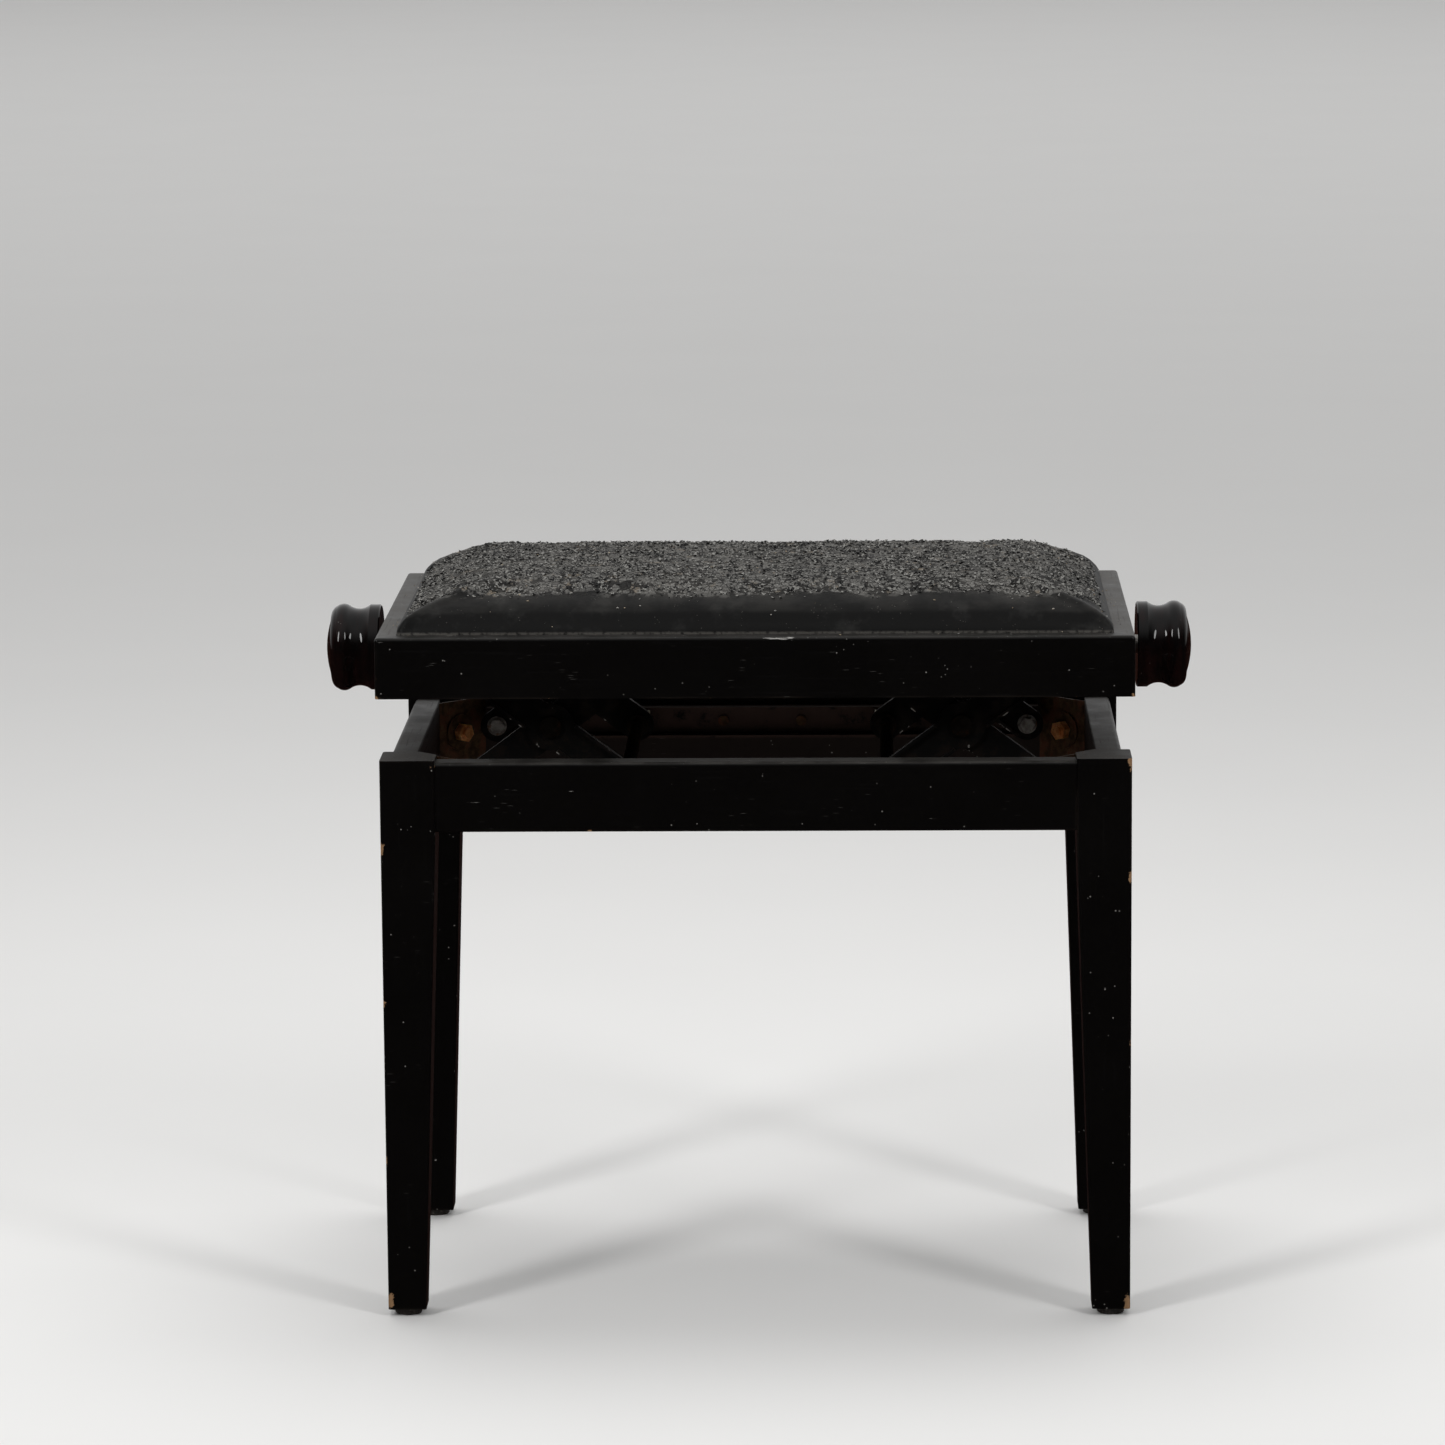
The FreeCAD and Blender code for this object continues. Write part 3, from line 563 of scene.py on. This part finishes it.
def startingPad():
    c = cushion
    halfX, halfY = coverHigh.x + c["startWide"], coverHigh.y + c["startWide"]
    bottom = coverLow.z + c["startLift"]
    fullHeight = coverHigh.z - frameTop
    stepsX, stepsY = c["steps"]
    mesh = bmesh.new()
    rows = {}
    for level in (0, 1):
        for i in range(stepsX + 1):
            for j in range(stepsY + 1):
                x = halfX * (2.0 * i / stepsX - 1.0)
                y = halfY * (2.0 * j / stepsY - 1.0)
                height = padTop(x, y, halfX, halfY)
                top = frameTop + height - c["startLow"] * height / fullHeight
                x, y = roundCorner(x, y, halfX, halfY)
                rows[level, i, j] = mesh.verts.new((x, y, top if level else bottom))
    for i in range(stepsX):
        for j in range(stepsY):
            mesh.faces.new([rows[1, i, j], rows[1, i + 1, j], rows[1, i + 1, j + 1], rows[1, i, j + 1]])
            mesh.faces.new([rows[0, i, j], rows[0, i, j + 1], rows[0, i + 1, j + 1], rows[0, i + 1, j]])
    rim = [(i, 0) for i in range(stepsX)] + [(stepsX, j) for j in range(stepsY)]
    rim += [(stepsX - i, stepsY) for i in range(stepsX)] + [(0, stepsY - j) for j in range(stepsY)]
    for a, b in zip(rim, rim[1:] + rim[:1]):
        mesh.faces.new([rows[0, *a], rows[0, *b], rows[1, *b], rows[1, *a]])
    bmesh.ops.recalc_face_normals(mesh, faces=mesh.faces)
    return linked("seat_cushion", meshData("seat_cushion", mesh))


def share(value, low, high):
    # 0 at low, 1 at high, straight between
    return min(max((value - low) / (high - low), 0.0), 1.0)


def swell(pad):
    c = cushion
    remesh = pad.modifiers.new("evenMesh", "REMESH")
    remesh.mode = "VOXEL"
    remesh.voxel_size = c["voxel"]
    applyModifiers(pad)
    start = places(pad)
    held = pad.vertex_groups.new(name="held")
    low = [int(i) for i in np.nonzero(start[:, 2] < frameTop + c["heldBelow"])[0]]
    held.add(low, 1.0, "REPLACE")
    cloth = pad.modifiers.new("swell", "CLOTH")
    cloth.settings.quality = 6
    cloth.settings.use_pressure = True
    cloth.settings.uniform_pressure_force = c["pressure"]
    cloth.settings.vertex_group_mass = "held"
    cloth.settings.bending_stiffness = 2.0
    cloth.settings.effector_weights.gravity = 0.0
    cloth.point_cache.frame_start = 1
    cloth.point_cache.frame_end = c["frames"]
    scene = bpy.context.scene
    for step in range(1, c["frames"] + 1):
        scene.frame_set(step)
    applyModifiers(pad)
    scene.frame_set(1)
    pad.vertex_groups.clear()
    change = places(pad) - start
    length = np.linalg.norm(change, axis=1, keepdims=True)
    eased = c["mostMove"] * np.tanh(length / c["mostMove"])
    start = start + change * (eased / np.maximum(length, 1e-9))
    print("cushion: swelled by up to", round(float(eased.max()) / mm, 2), "mm")
    # keep the crown at the cover's height, lap the wall on the frame's top, and clear the frame below it
    raised = start[:, 2] > frameTop
    top = start[:, 2].max()
    scale = (coverHigh.z - frameTop) / (top - frameTop)
    start[raised, 2] = frameTop + (start[raised, 2] - frameTop) * scale
    limit = np.array([coverHigh.x, coverHigh.y]) + np.where(raised, c["overlap"], -c["clearance"])[:, None]
    start[:, :2] = np.clip(start[:, :2], -limit, limit)
    start[:, 2] = np.maximum(start[:, 2], coverLow.z)
    putPlaces(pad, start)
    smoothing = pad.modifiers.new("finer", "SUBSURF")
    smoothing.levels = smoothing.render_levels = 1
    applyModifiers(pad)
    # slack skin over old foam: low lumps, and shallow pulls along the front and back rolls
    final = places(pad)
    for index, point in enumerate(final):
        height = share(point[2] - frameTop, 0.0, c["lumpsFrom"])
        if height > 0.0:
            at = Vector(point)
            lump = noise.noise(at * 26.0) + 0.5 * noise.noise(at * 70.0)
            pull = noise.noise(Vector((point[0] * 90.0, point[1] * 12.0, point[2] * 30.0)))
            roll = 1.0 - share(point[2] - frameTop, c["pullsFrom"], c["pullsTo"])
            final[index, 2] += c["lumps"] * height * (lump + 0.35 * pull * roll)
    putPlaces(pad, final)
    for face in pad.data.polygons:
        face.use_smooth = True


leatherLook = {
    "skin": (0.0054, 0.0053, 0.0052),
    "skinWorn": (0.026, 0.0255, 0.0245),
    "backing": (0.180, 0.176, 0.166),
    "tan": (0.23, 0.175, 0.115),
    "crack": (0.006, 0.006, 0.006),
    "dust": (0.165, 0.155, 0.140),
    "ends": 4.2,               # at the ends the skin is gone this much nearer to the edge
    "peelFrom": 22.0 * mm,     # in from the front and back edges, where the skin begins to come off
    "peelFull": 37.0 * mm,
    "crackScale": 210.0,
    "depth": 0.55 * mm,
}


def peelingLeather():
    look = leatherLook
    finish = Finish("peeling_leatherette", Specular_IOR_Level=0.10)
    place = finish.place
    x, y, z = finish.parts(place)
    warp = finish.node("ShaderNodeTexNoise", None,
                       {"Vector": place, "Scale": 120.0, "Detail": 3.0}, "Color")
    bent = place + (warp - (0.5, 0.5, 0.5)) * (0.006, 0.006, 0.006)
    cloud = finish.noise(place, 20.0, 5.0, 0.65)
    patch = finish.noise(place, 55.0, 4.0, 0.6)
    grit = finish.noise(place, 700.0, 4.0, 0.7)

    # how far gone the skin is, from sound on the roll to peeled on the crown
    above = z - frameTop
    inward = (coverHigh.y - abs(y)).least((coverHigh.x - abs(x)) * look["ends"])
    uneven = (cloud - 0.5) * 0.030 + (patch - 0.5) * 0.014
    worn = finish.smooth(inward + uneven, look["peelFrom"], look["peelFull"])

    big = finish.cells(bent, look["crackScale"], "DISTANCE_TO_EDGE")
    small = finish.cells(bent, look["crackScale"] * 2.6, "DISTANCE_TO_EDGE")
    tone = finish.node("ShaderNodeTexVoronoi", None, {"Vector": bent, "Scale": look["crackScale"]}, "Color")
    chance, shade, _ = finish.parts(tone)
    crack = finish.smooth(big, 0.10, 0.03)
    fineCrack = finish.smooth(small, 0.11, 0.03)
    kept = finish.smooth(chance * 0.6 + patch * 0.7 - worn * 0.42, 0.33, 0.37)   # skin still on this scale
    gone = worn * (1.0 - kept)

    wrinkles = finish.noise(place * (90.0, 420.0, 420.0), 1.0, 4.0, 0.6)
    leather = finish.cells(place, 1150.0, "SMOOTH_F1")
    scuff = finish.smooth(finish.noise(place, 30.0, 5.0, 0.7), 0.50, 0.72)

    skin = finish.blend(scuff * 0.6 + worn * 0.35, look["skin"], look["skinWorn"])
    backing = finish.blend(shade, tuple(v * 0.62 for v in look["backing"]), look["backing"])
    backing = finish.blend(finish.smooth(patch + grit * 0.25, 0.70, 0.80) * 0.55, backing, look["tan"])
    colour = finish.blend(gone, skin, backing)
    dark = worn * (crack * 0.85).most(fineCrack * 0.45)
    colour = finish.blend(dark, colour, look["crack"])

    # lint and dust: dots over the pad, and a pale line where the roll meets the frame
    dots = finish.smooth(finish.cells(place, 420.0), 0.15, 0.07)
    dotted = dots * finish.smooth(finish.noise(place, 75.0, 2.0), 0.56, 0.64)
    foot = finish.smooth(above, 2.5 * mm, 0.6 * mm) * finish.smooth(finish.noise(place, 260.0, 3.0), 0.30, 0.55)
    film = finish.smooth(finish.facing(2), 0.55, 1.0) * finish.smooth(cloud, 0.33, 0.62) * (0.09 + worn * 0.11)
    colour = finish.blend((dotted * 0.7).most(foot * 0.5).most(film), colour, look["dust"])

    roughness = 0.46 + scuff * 0.12 + gone * 0.34 + worn * 0.10 + wrinkles * 0.06 + dotted * 0.2
    height = (kept * worn * 0.8 - dark * 0.9 + gone * grit * 0.7
              + wrinkles * (0.10 + worn * 0.15) + leather * 0.05 + dotted * 0.3)
    return finish.paint(Base_Color=colour, Roughness=roughness.least(0.92),
                        Normal=finish.bump(height, look["depth"], 0.9))


pad = startingPad()
swell(pad)
leather = peelingLeather()
pad.data.materials.clear()
pad.data.materials.append(leather)
print("bench: cushion done,", len(pad.data.polygons), "faces")


# geometry node helpers

def newTree(name, inputs):
    tree = bpy.data.node_groups.new(name, "GeometryNodeTree")
    tree.interface.new_socket("Geometry", in_out="INPUT", socket_type="NodeSocketGeometry")
    for title, (kind, value) in inputs.items():
        socket = tree.interface.new_socket(title, in_out="INPUT", socket_type="NodeSocket" + kind)
        socket.default_value = value
    tree.interface.new_socket("Geometry", in_out="OUTPUT", socket_type="NodeSocketGeometry")
    recipe = Recipe(tree)
    entry = recipe.node("NodeGroupInput").socket.node
    given = {output.name: Wire(recipe, output) for output in entry.outputs if output.name}
    return recipe, given


def endTree(recipe, geometry, material):
    real = recipe.node("GeometryNodeRealizeInstances", None, {"Geometry": geometry})
    coated = recipe.node("GeometryNodeSetMaterial", None, {"Geometry": real, "Material": material})
    recipe.node("NodeGroupOutput", None, {0: coated})


def grow(recipe, name, source, values):
    # runs a tree on a copy of the source mesh and keeps the plain result
    obj = linked(name, source)
    maker = obj.modifiers.new(name, "NODES")
    maker.node_group = recipe.tree
    for item in recipe.tree.interface.items_tree:
        if item.in_out == "INPUT" and item.name in values:
            maker[item.identifier] = values[item.name]
    applyModifiers(obj)
    return obj


def randomNumber(recipe, low, high, seed):
    return recipe.node("FunctionNodeRandomValue", {"data_type": "FLOAT"}, {2: low, 3: high, 8: seed}, 1)


def randomVector(recipe, low, high, seed):
    return recipe.node("FunctionNodeRandomValue", {"data_type": "FLOAT_VECTOR"}, {0: low, 1: high, 8: seed})


# loose flakes of skin standing up from the cushion

flakes = {
    "tilt": 0.36,
    "sound": (0.0040, 0.0040, 0.0040), "turned": (0.225, 0.220, 0.206),    # skin side and backing side
    # piece: flakes to the square metre, size, how many segments long, seed
    "pieces": {
        "cushion_flakes_a": (46000.0, 2.7 * mm, 3, 7), "cushion_flakes_b": (46000.0, 2.7 * mm, 3, 31),
        "cushion_crumbs_a": (65000.0, 1.5 * mm, 2, 17), "cushion_crumbs_b": (65000.0, 1.5 * mm, 2, 47),
    },
}


def skinFlakes(material):
    recipe, given = newTree("skinFlakes", {
        "Density": ("Float", 20000.0), "Size": ("Float", 0.0015), "Segments": ("Int", 3), "Seed": ("Int", 1),
        "From": ("Float", 0.02), "Full": ("Float", 0.03), "Half Length": ("Float", 0.26),
        "Half Depth": ("Float", 0.15), "Ends": ("Float", 2.0)})
    spot = recipe.node("GeometryNodeInputPosition")
    x, y, _ = recipe.parts(spot)
    inward = (given["Half Depth"] - abs(y)).least((given["Half Length"] - abs(x)) * given["Ends"])
    ragged = (recipe.noise(spot, 20.0, 4.0) - 0.5) * 0.030
    clumps = 0.30 + 0.70 * recipe.smooth(recipe.noise(spot, 60.0, 3.0), 0.40, 0.60)
    worn = recipe.smooth(inward + ragged, given["From"], given["Full"])
    points = recipe.node("GeometryNodeDistributePointsOnFaces", {"distribute_method": "RANDOM"},
                         {"Mesh": given["Geometry"], "Density": given["Density"] * clumps * worn,
                          "Seed": given["Seed"]})
    rotation = Wire(recipe, points.socket.node.outputs["Rotation"])
    chip = recipe.node("GeometryNodeMeshCube", None,
                       {"Size": (1.0, 0.62, 0.08), "Vertices X": given["Segments"], "Vertices Y": 2,
                        "Vertices Z": 2})
    along, across, _ = recipe.parts(recipe.node("GeometryNodeInputPosition"))
    lift = recipe.node("ShaderNodeCombineXYZ", None,      # curls the chip up at its ends
                       {0: along * across * 0.5, 1: along * along * 0.5, 2: along * along + 0.04})
    bent = recipe.node("GeometryNodeSetPosition", None, {"Geometry": chip, "Offset": lift})
    lean = flakes["tilt"]
    tilt = randomVector(recipe, (-lean, -lean, -3.14), (lean, lean, 3.14), given["Seed"] + 1)
    turn = recipe.node("FunctionNodeEulerToRotation", None, {0: tilt})
    turned = recipe.node("FunctionNodeRotateRotation", {"rotation_space": "LOCAL"},
                         {"Rotation": rotation, "Rotate By": turn})
    large = randomNumber(recipe, 0.0, 1.0, given["Seed"] + 2)
    scale = given["Size"] * (0.40 + large * large * 0.9)
    placed = recipe.node("GeometryNodeInstanceOnPoints", None,
                         {"Points": points, "Instance": bent, "Rotation": turned, "Scale": scale})
    endTree(recipe, placed, material)
    return recipe


def flakeSkin():
    finish = Finish("loose_skin", Specular_IOR_Level=0.35)
    tone = finish.noise(finish.place, 300.0, 1.0)
    grit = finish.noise(finish.place, 1500.0, 3.0)
    colour = finish.blend(finish.smooth(tone, 0.49, 0.54), flakes["sound"], flakes["turned"])
    return finish.paint(Base_Color=colour, Roughness=0.45 + grit * 0.3, Normal=finish.bump(grit, 0.05 * mm))


flakeTree = skinFlakes(flakeSkin())
flakePieces = []
for name, (density, size, segments, seed) in flakes["pieces"].items():
    flakePieces.append(grow(flakeTree, name, pad.data, {
        "Density": density, "Size": size, "Segments": segments, "Seed": seed,
        "From": leatherLook["peelFrom"], "Full": leatherLook["peelFull"],
        "Half Length": coverHigh.x, "Half Depth": coverHigh.y, "Ends": leatherLook["ends"]}))
print("bench: flakes done,", sum(len(piece.data.polygons) for piece in flakePieces), "faces")


# lint caught along the foot of the cushion and on the frame's top

lint = {
    "perSquareMetre": 15000.0, "size": 0.62 * mm, "onPad": 2600.0, "padSize": 0.95 * mm, "seed": 21,
    "border": 7.0 * mm, "gap": 1.1 * mm, "lift": 0.1 * mm,    # the strip beside the cushion that it lies on
    "tan": (0.30, 0.23, 0.15), "pale": (0.34, 0.335, 0.32), "dark": (0.02, 0.02, 0.02),
}


def lintSpecks(material):
    recipe, given = newTree("lintSpecks", {
        "Density": ("Float", 9000.0), "Size": ("Float", 0.0006), "Seed": ("Int", 1)})
    points = recipe.node("GeometryNodeDistributePointsOnFaces", {"distribute_method": "RANDOM"},
                         {"Mesh": given["Geometry"], "Density": given["Density"], "Seed": given["Seed"]})
    crumb = recipe.node("GeometryNodeMeshIcoSphere", None, {"Radius": 0.5, "Subdivisions": 1})
    at = recipe.node("GeometryNodeInputPosition")
    uneven = recipe.noise(at, 2.3, 1.0)
    shaped = recipe.node("GeometryNodeSetPosition", None,
                         {"Geometry": crumb, "Position": at * (1.0, 0.65, 0.55) * (0.55 + uneven)})
    spin = randomVector(recipe, (-0.3, -0.3, -3.14), (0.3, 0.3, 3.14), given["Seed"] + 3)
    turn = recipe.node("FunctionNodeEulerToRotation", None, {0: spin})
    large = randomNumber(recipe, 0.0, 1.0, given["Seed"] + 4)
    scale = given["Size"] * (0.4 + large * large * large * large * 2.2)
    placed = recipe.node("GeometryNodeInstanceOnPoints", None,
                         {"Points": points, "Instance": shaped, "Rotation": turn, "Scale": scale})
    endTree(recipe, placed, material)
    return recipe


def lintColour():
    finish = Finish("lint")
    tone = finish.noise(finish.place, 330.0, 1.0)
    grit = finish.noise(finish.place, 2400.0, 3.0)
    colour = finish.blend(finish.smooth(tone, 0.40, 0.60), lint["tan"], lint["pale"])
    colour = finish.blend(finish.smooth(tone, 0.36, 0.32), colour, lint["dark"])
    return finish.paint(Base_Color=colour, Roughness=0.8 + grit * 0.1, Normal=finish.bump(grit, 0.05 * mm))


def borderStrip():
    # four thin strips on the frame's top, between the cushion and the frame's edge
    mesh = bmesh.new()
    inX, inY = coverHigh.x + lint["gap"], coverHigh.y + lint["gap"]
    outX, outY = inX + lint["border"], inY + lint["border"]
    z = frameTop + lint["lift"]
    inner, outer = [[mesh.verts.new((sideX * toX, sideY * toY, z))
                     for sideX, sideY in ((-1, -1), (1, -1), (1, 1), (-1, 1))]
                    for toX, toY in ((inX, inY), (outX, outY))]
    for a in range(4):
        b = (a + 1) % 4
        mesh.faces.new([outer[a], outer[b], inner[b], inner[a]])
    return meshData("lint_border", mesh)


lintTree = lintSpecks(lintColour())
borderLint = grow(lintTree, "border_lint", borderStrip(),
                  {"Density": lint["perSquareMetre"], "Size": lint["size"], "Seed": lint["seed"]})
padLint = grow(lintTree, "cushion_lint", pad.data,
               {"Density": lint["onPad"], "Size": lint["padSize"], "Seed": lint["seed"] + 1})
print("bench: lint done,", len(borderLint.data.polygons) + len(padLint.data.polygons), "faces")


# the lift screws, with their threads cut

screws = {
    "crest": 7.0 * mm, "root": 5.5 * mm, "pitch": 4.0 * mm, "start": 0.6 * mm,
    "threadFrom": 24.0 * mm, "threadTo": 196.0 * mm, "around": 28, "step": 0.5 * mm,
    "steel": (0.52, 0.50, 0.47), "steelDull": (0.34, 0.32, 0.29), "grease": (0.045, 0.033, 0.020),
}
rodLow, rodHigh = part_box("screw_rods")
screwHeight = (rodLow.z + rodHigh.z) / 2


def leadScrew(material):
    # one half runs out along +X with a right-hand thread; the other is its mirror image, left-hand
    recipe, given = newTree("leadScrew", {
        "Start": ("Float", 0.002), "End": ("Float", 0.3), "Thread From": ("Float", 0.02),
        "Thread To": ("Float", 0.2), "Crest": ("Float", 0.007), "Root": ("Float", 0.0055),
        "Pitch": ("Float", 0.004), "Height": ("Float", 0.47), "Along": ("Int", 600), "Around": ("Int", 24)})
    grid = recipe.node("GeometryNodeMeshGrid", None,
                       {"Size X": 1.0, "Size Y": 1.0, "Vertices X": given["Along"], "Vertices Y": given["Around"]})
    u, v, _ = recipe.parts(recipe.node("GeometryNodeInputPosition"))
    x = given["Start"] + (u + 0.5) * (given["End"] - given["Start"])
    turns = (x / given["Pitch"]) - v
    phase = abs(turns.combine("FRACT", turns) - 0.5)
    profile = recipe.node("ShaderNodeMapRange", None, {"Value": phase, "From Min": 0.30, "From Max": 0.18})
    cut = (recipe.smooth(x, given["Thread From"], given["Thread From"] + 0.004)     # runs out over a turn
           * recipe.smooth(x, given["Thread To"], given["Thread To"] - 0.004))
    depth = (given["Crest"] - given["Root"]) * cut * (1.0 - profile)
    inside = (0.4999 - abs(u)).above(0.0)          # the first and last rings close on the axis
    radius = (given["Crest"] - depth) * inside
    angle = v * (2.0 * math.pi)
    around = recipe.node("ShaderNodeCombineXYZ", None, {
        0: x, 1: angle.combine("COSINE", angle) * radius,
        2: angle.combine("SINE", angle) * radius + given["Height"]})
    rolled = recipe.node("GeometryNodeSetPosition", None, {"Geometry": grid, "Position": around})
    welded = recipe.node("GeometryNodeMergeByDistance", None, {"Geometry": rolled, "Distance": 0.00001})
    mirrored = recipe.node("GeometryNodeTransform", None, {"Geometry": welded, "Scale": (-1.0, 1.0, 1.0)})
    flipped = recipe.node("GeometryNodeFlipFaces", None, {"Mesh": mirrored})
    both = recipe.node("GeometryNodeJoinGeometry", None, {0: [welded, flipped]})
    endTree(recipe, both, material)
    return recipe


def cutThread():
    finish = Finish("screw_steel_greased")
    place = finish.place
    grit = finish.noise(place, 700.0, 4.0, 0.7)
    cloud = finish.noise(place * (40.0, 120.0, 120.0), 1.0, 4.0, 0.6)
    fromAxis = finish.length((place - (0.0, 0.0, screwHeight)) * (0.0, 1.0, 1.0))
    deep = finish.smooth(fromAxis, screws["crest"] - 0.1 * mm, screws["root"] + 0.3 * mm)
    grease = (deep * 0.7 + finish.smooth(cloud, 0.50, 0.66) * 0.6).least(1.0)
    colour = finish.blend(finish.smooth(grit, 0.45, 0.65), screws["steel"], screws["steelDull"])
    colour = finish.blend(grease, colour, screws["grease"])
    return finish.paint(Base_Color=colour, Metallic=1.0 - grease * 0.7, Roughness=0.26 + grit * 0.16,
                        Normal=finish.bump(grit, 0.03 * mm))


screwPiece = grow(leadScrew(cutThread()), "lift_screws", bpy.data.meshes.new("screw_seed"), {
    "Start": screws["start"], "End": rodHigh.x,
    "Thread From": screws["threadFrom"], "Thread To": screws["threadTo"],
    "Crest": screws["crest"], "Root": screws["root"], "Pitch": screws["pitch"], "Height": screwHeight,
    "Along": int((rodHigh.x - screws["start"]) / screws["step"]), "Around": screws["around"] + 1})
print("bench: lift screws done,", len(screwPiece.data.polygons), "faces")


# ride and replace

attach(pad, "seat")
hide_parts("cushion_cover", "cushion_foam")
for piece in flakePieces:
    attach(piece, "seat")
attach(borderLint, "seat")
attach(padLint, "seat")
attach(screwPiece, "screw")
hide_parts("screw_rods")


# floor, light and camera

studio = {
    "floor": (0.79, 0.785, 0.775), "floorRadius": 22.0, "floorSides": 64,
    # how bright the room is behind the bench, in front, overhead and below
    "behind": 0.66, "front": 0.020, "over": 0.62, "under": (0.020, 0.008, 0.006),
    "seen": (0.385, 0.382, 0.376),    # the backdrop
    # lamp: place, what it points at, size, watts, whether the gloss shows it
    "lamps": {
        "left_softbox": ((-2.1, -2.4, 2.4), (0, 0, 0.4), (0.68, 1.7), 44.0, True),
        "right_softbox": ((2.2, -2.3, 2.4), (0, 0, 0.4), (0.68, 1.7), 34.0, True),
        "top_softbox": ((0.0, 0.6, 3.0), (0, 0, 0.4), (2.4, 1.6), 34.0, False),
        "backdrop_light": ((0.0, 12.0, 6.0), (0, 12.0, 0.0), (14.0, 14.0), 170.0, False),
    },
    "camera": (0.0848, -4.4974, 1.1855), "pitch": -9.707, "yaw": 1.429, "roll": 0.446, "lens": 151.43,
}


def stageFloor():
    mesh = bmesh.new()
    radius, sides = studio["floorRadius"], studio["floorSides"]
    angles = [2.0 * math.pi * step / sides for step in range(sides)]
    mesh.faces.new([mesh.verts.new((radius * math.cos(a), radius * math.sin(a), 0.0)) for a in angles])
    floor = linked("studio_floor", meshData("studio_floor", mesh))
    finish = Finish("floor_paint", Specular_IOR_Level=0.2)
    mottle = finish.noise(finish.place, 3.0, 4.0)
    finish.paint(Base_Color=finish.blend(mottle, tuple(v * 0.97 for v in studio["floor"]), studio["floor"]),
                 Roughness=0.7 + mottle * 0.1)
    floor.data.materials.append(finish.material)
    floor.visible_glossy = False


def softRoom():
    world = bpy.data.worlds.new("soft_room")
    world.use_nodes = True
    bpy.context.scene.world = world
    world.node_tree.nodes.clear()
    room = Recipe(world.node_tree)
    _, y, z = room.parts(room.node("ShaderNodeTexCoord", out="Generated"))    # the direction looked in
    sides = room.blend(room.smooth(y, -0.25, 0.55), (studio["front"],) * 3, (studio["behind"],) * 3)
    upper = room.blend(room.smooth(z, 0.25, 0.95), sides, (studio["over"],) * 3)
    whole = room.blend(room.smooth(z, -0.02, -0.10), upper, studio["under"])
    seen = room.node("ShaderNodeLightPath", out="Is Camera Ray")
    light = room.node("ShaderNodeBackground", None, {"Color": room.blend(seen, whole, studio["seen"])})
    room.node("ShaderNodeOutputWorld", None, {"Surface": light})


def softbox(name, place, target, size, power, inGloss):
    data = bpy.data.lights.new(name, "AREA")
    data.shape = "ELLIPSE"
    data.size, data.size_y = size
    data.energy = power
    lamp = linked(name, data)
    lamp.location = place
    lamp.rotation_euler = (Vector(target) - Vector(place)).to_track_quat("-Z", "Y").to_euler()
    lamp.visible_glossy = inGloss


def addCamera():
    data = bpy.data.cameras.new("front_camera")
    data.sensor_width = 36.0
    data.lens = studio["lens"]
    data.clip_end = 100.0
    camera = linked("front_camera", data)
    turn = Matrix.Identity(3)
    for angle, axis in (("yaw", "Z"), ("pitch", "X"), ("roll", "Y")):
        turn = turn @ Matrix.Rotation(math.radians(studio[angle]), 3, axis)
    right, ahead, up = turn.col
    facing = Matrix((right, up, -ahead)).transposed().to_4x4()
    camera.matrix_world = Matrix.Translation(studio["camera"]) @ facing
    bpy.context.scene.camera = camera


stageFloor()
softRoom()
for name, settings in studio["lamps"].items():
    softbox(name, *settings)
addCamera()
bpy.context.scene.view_settings.view_transform = "Standard"
print("bench: studio done")
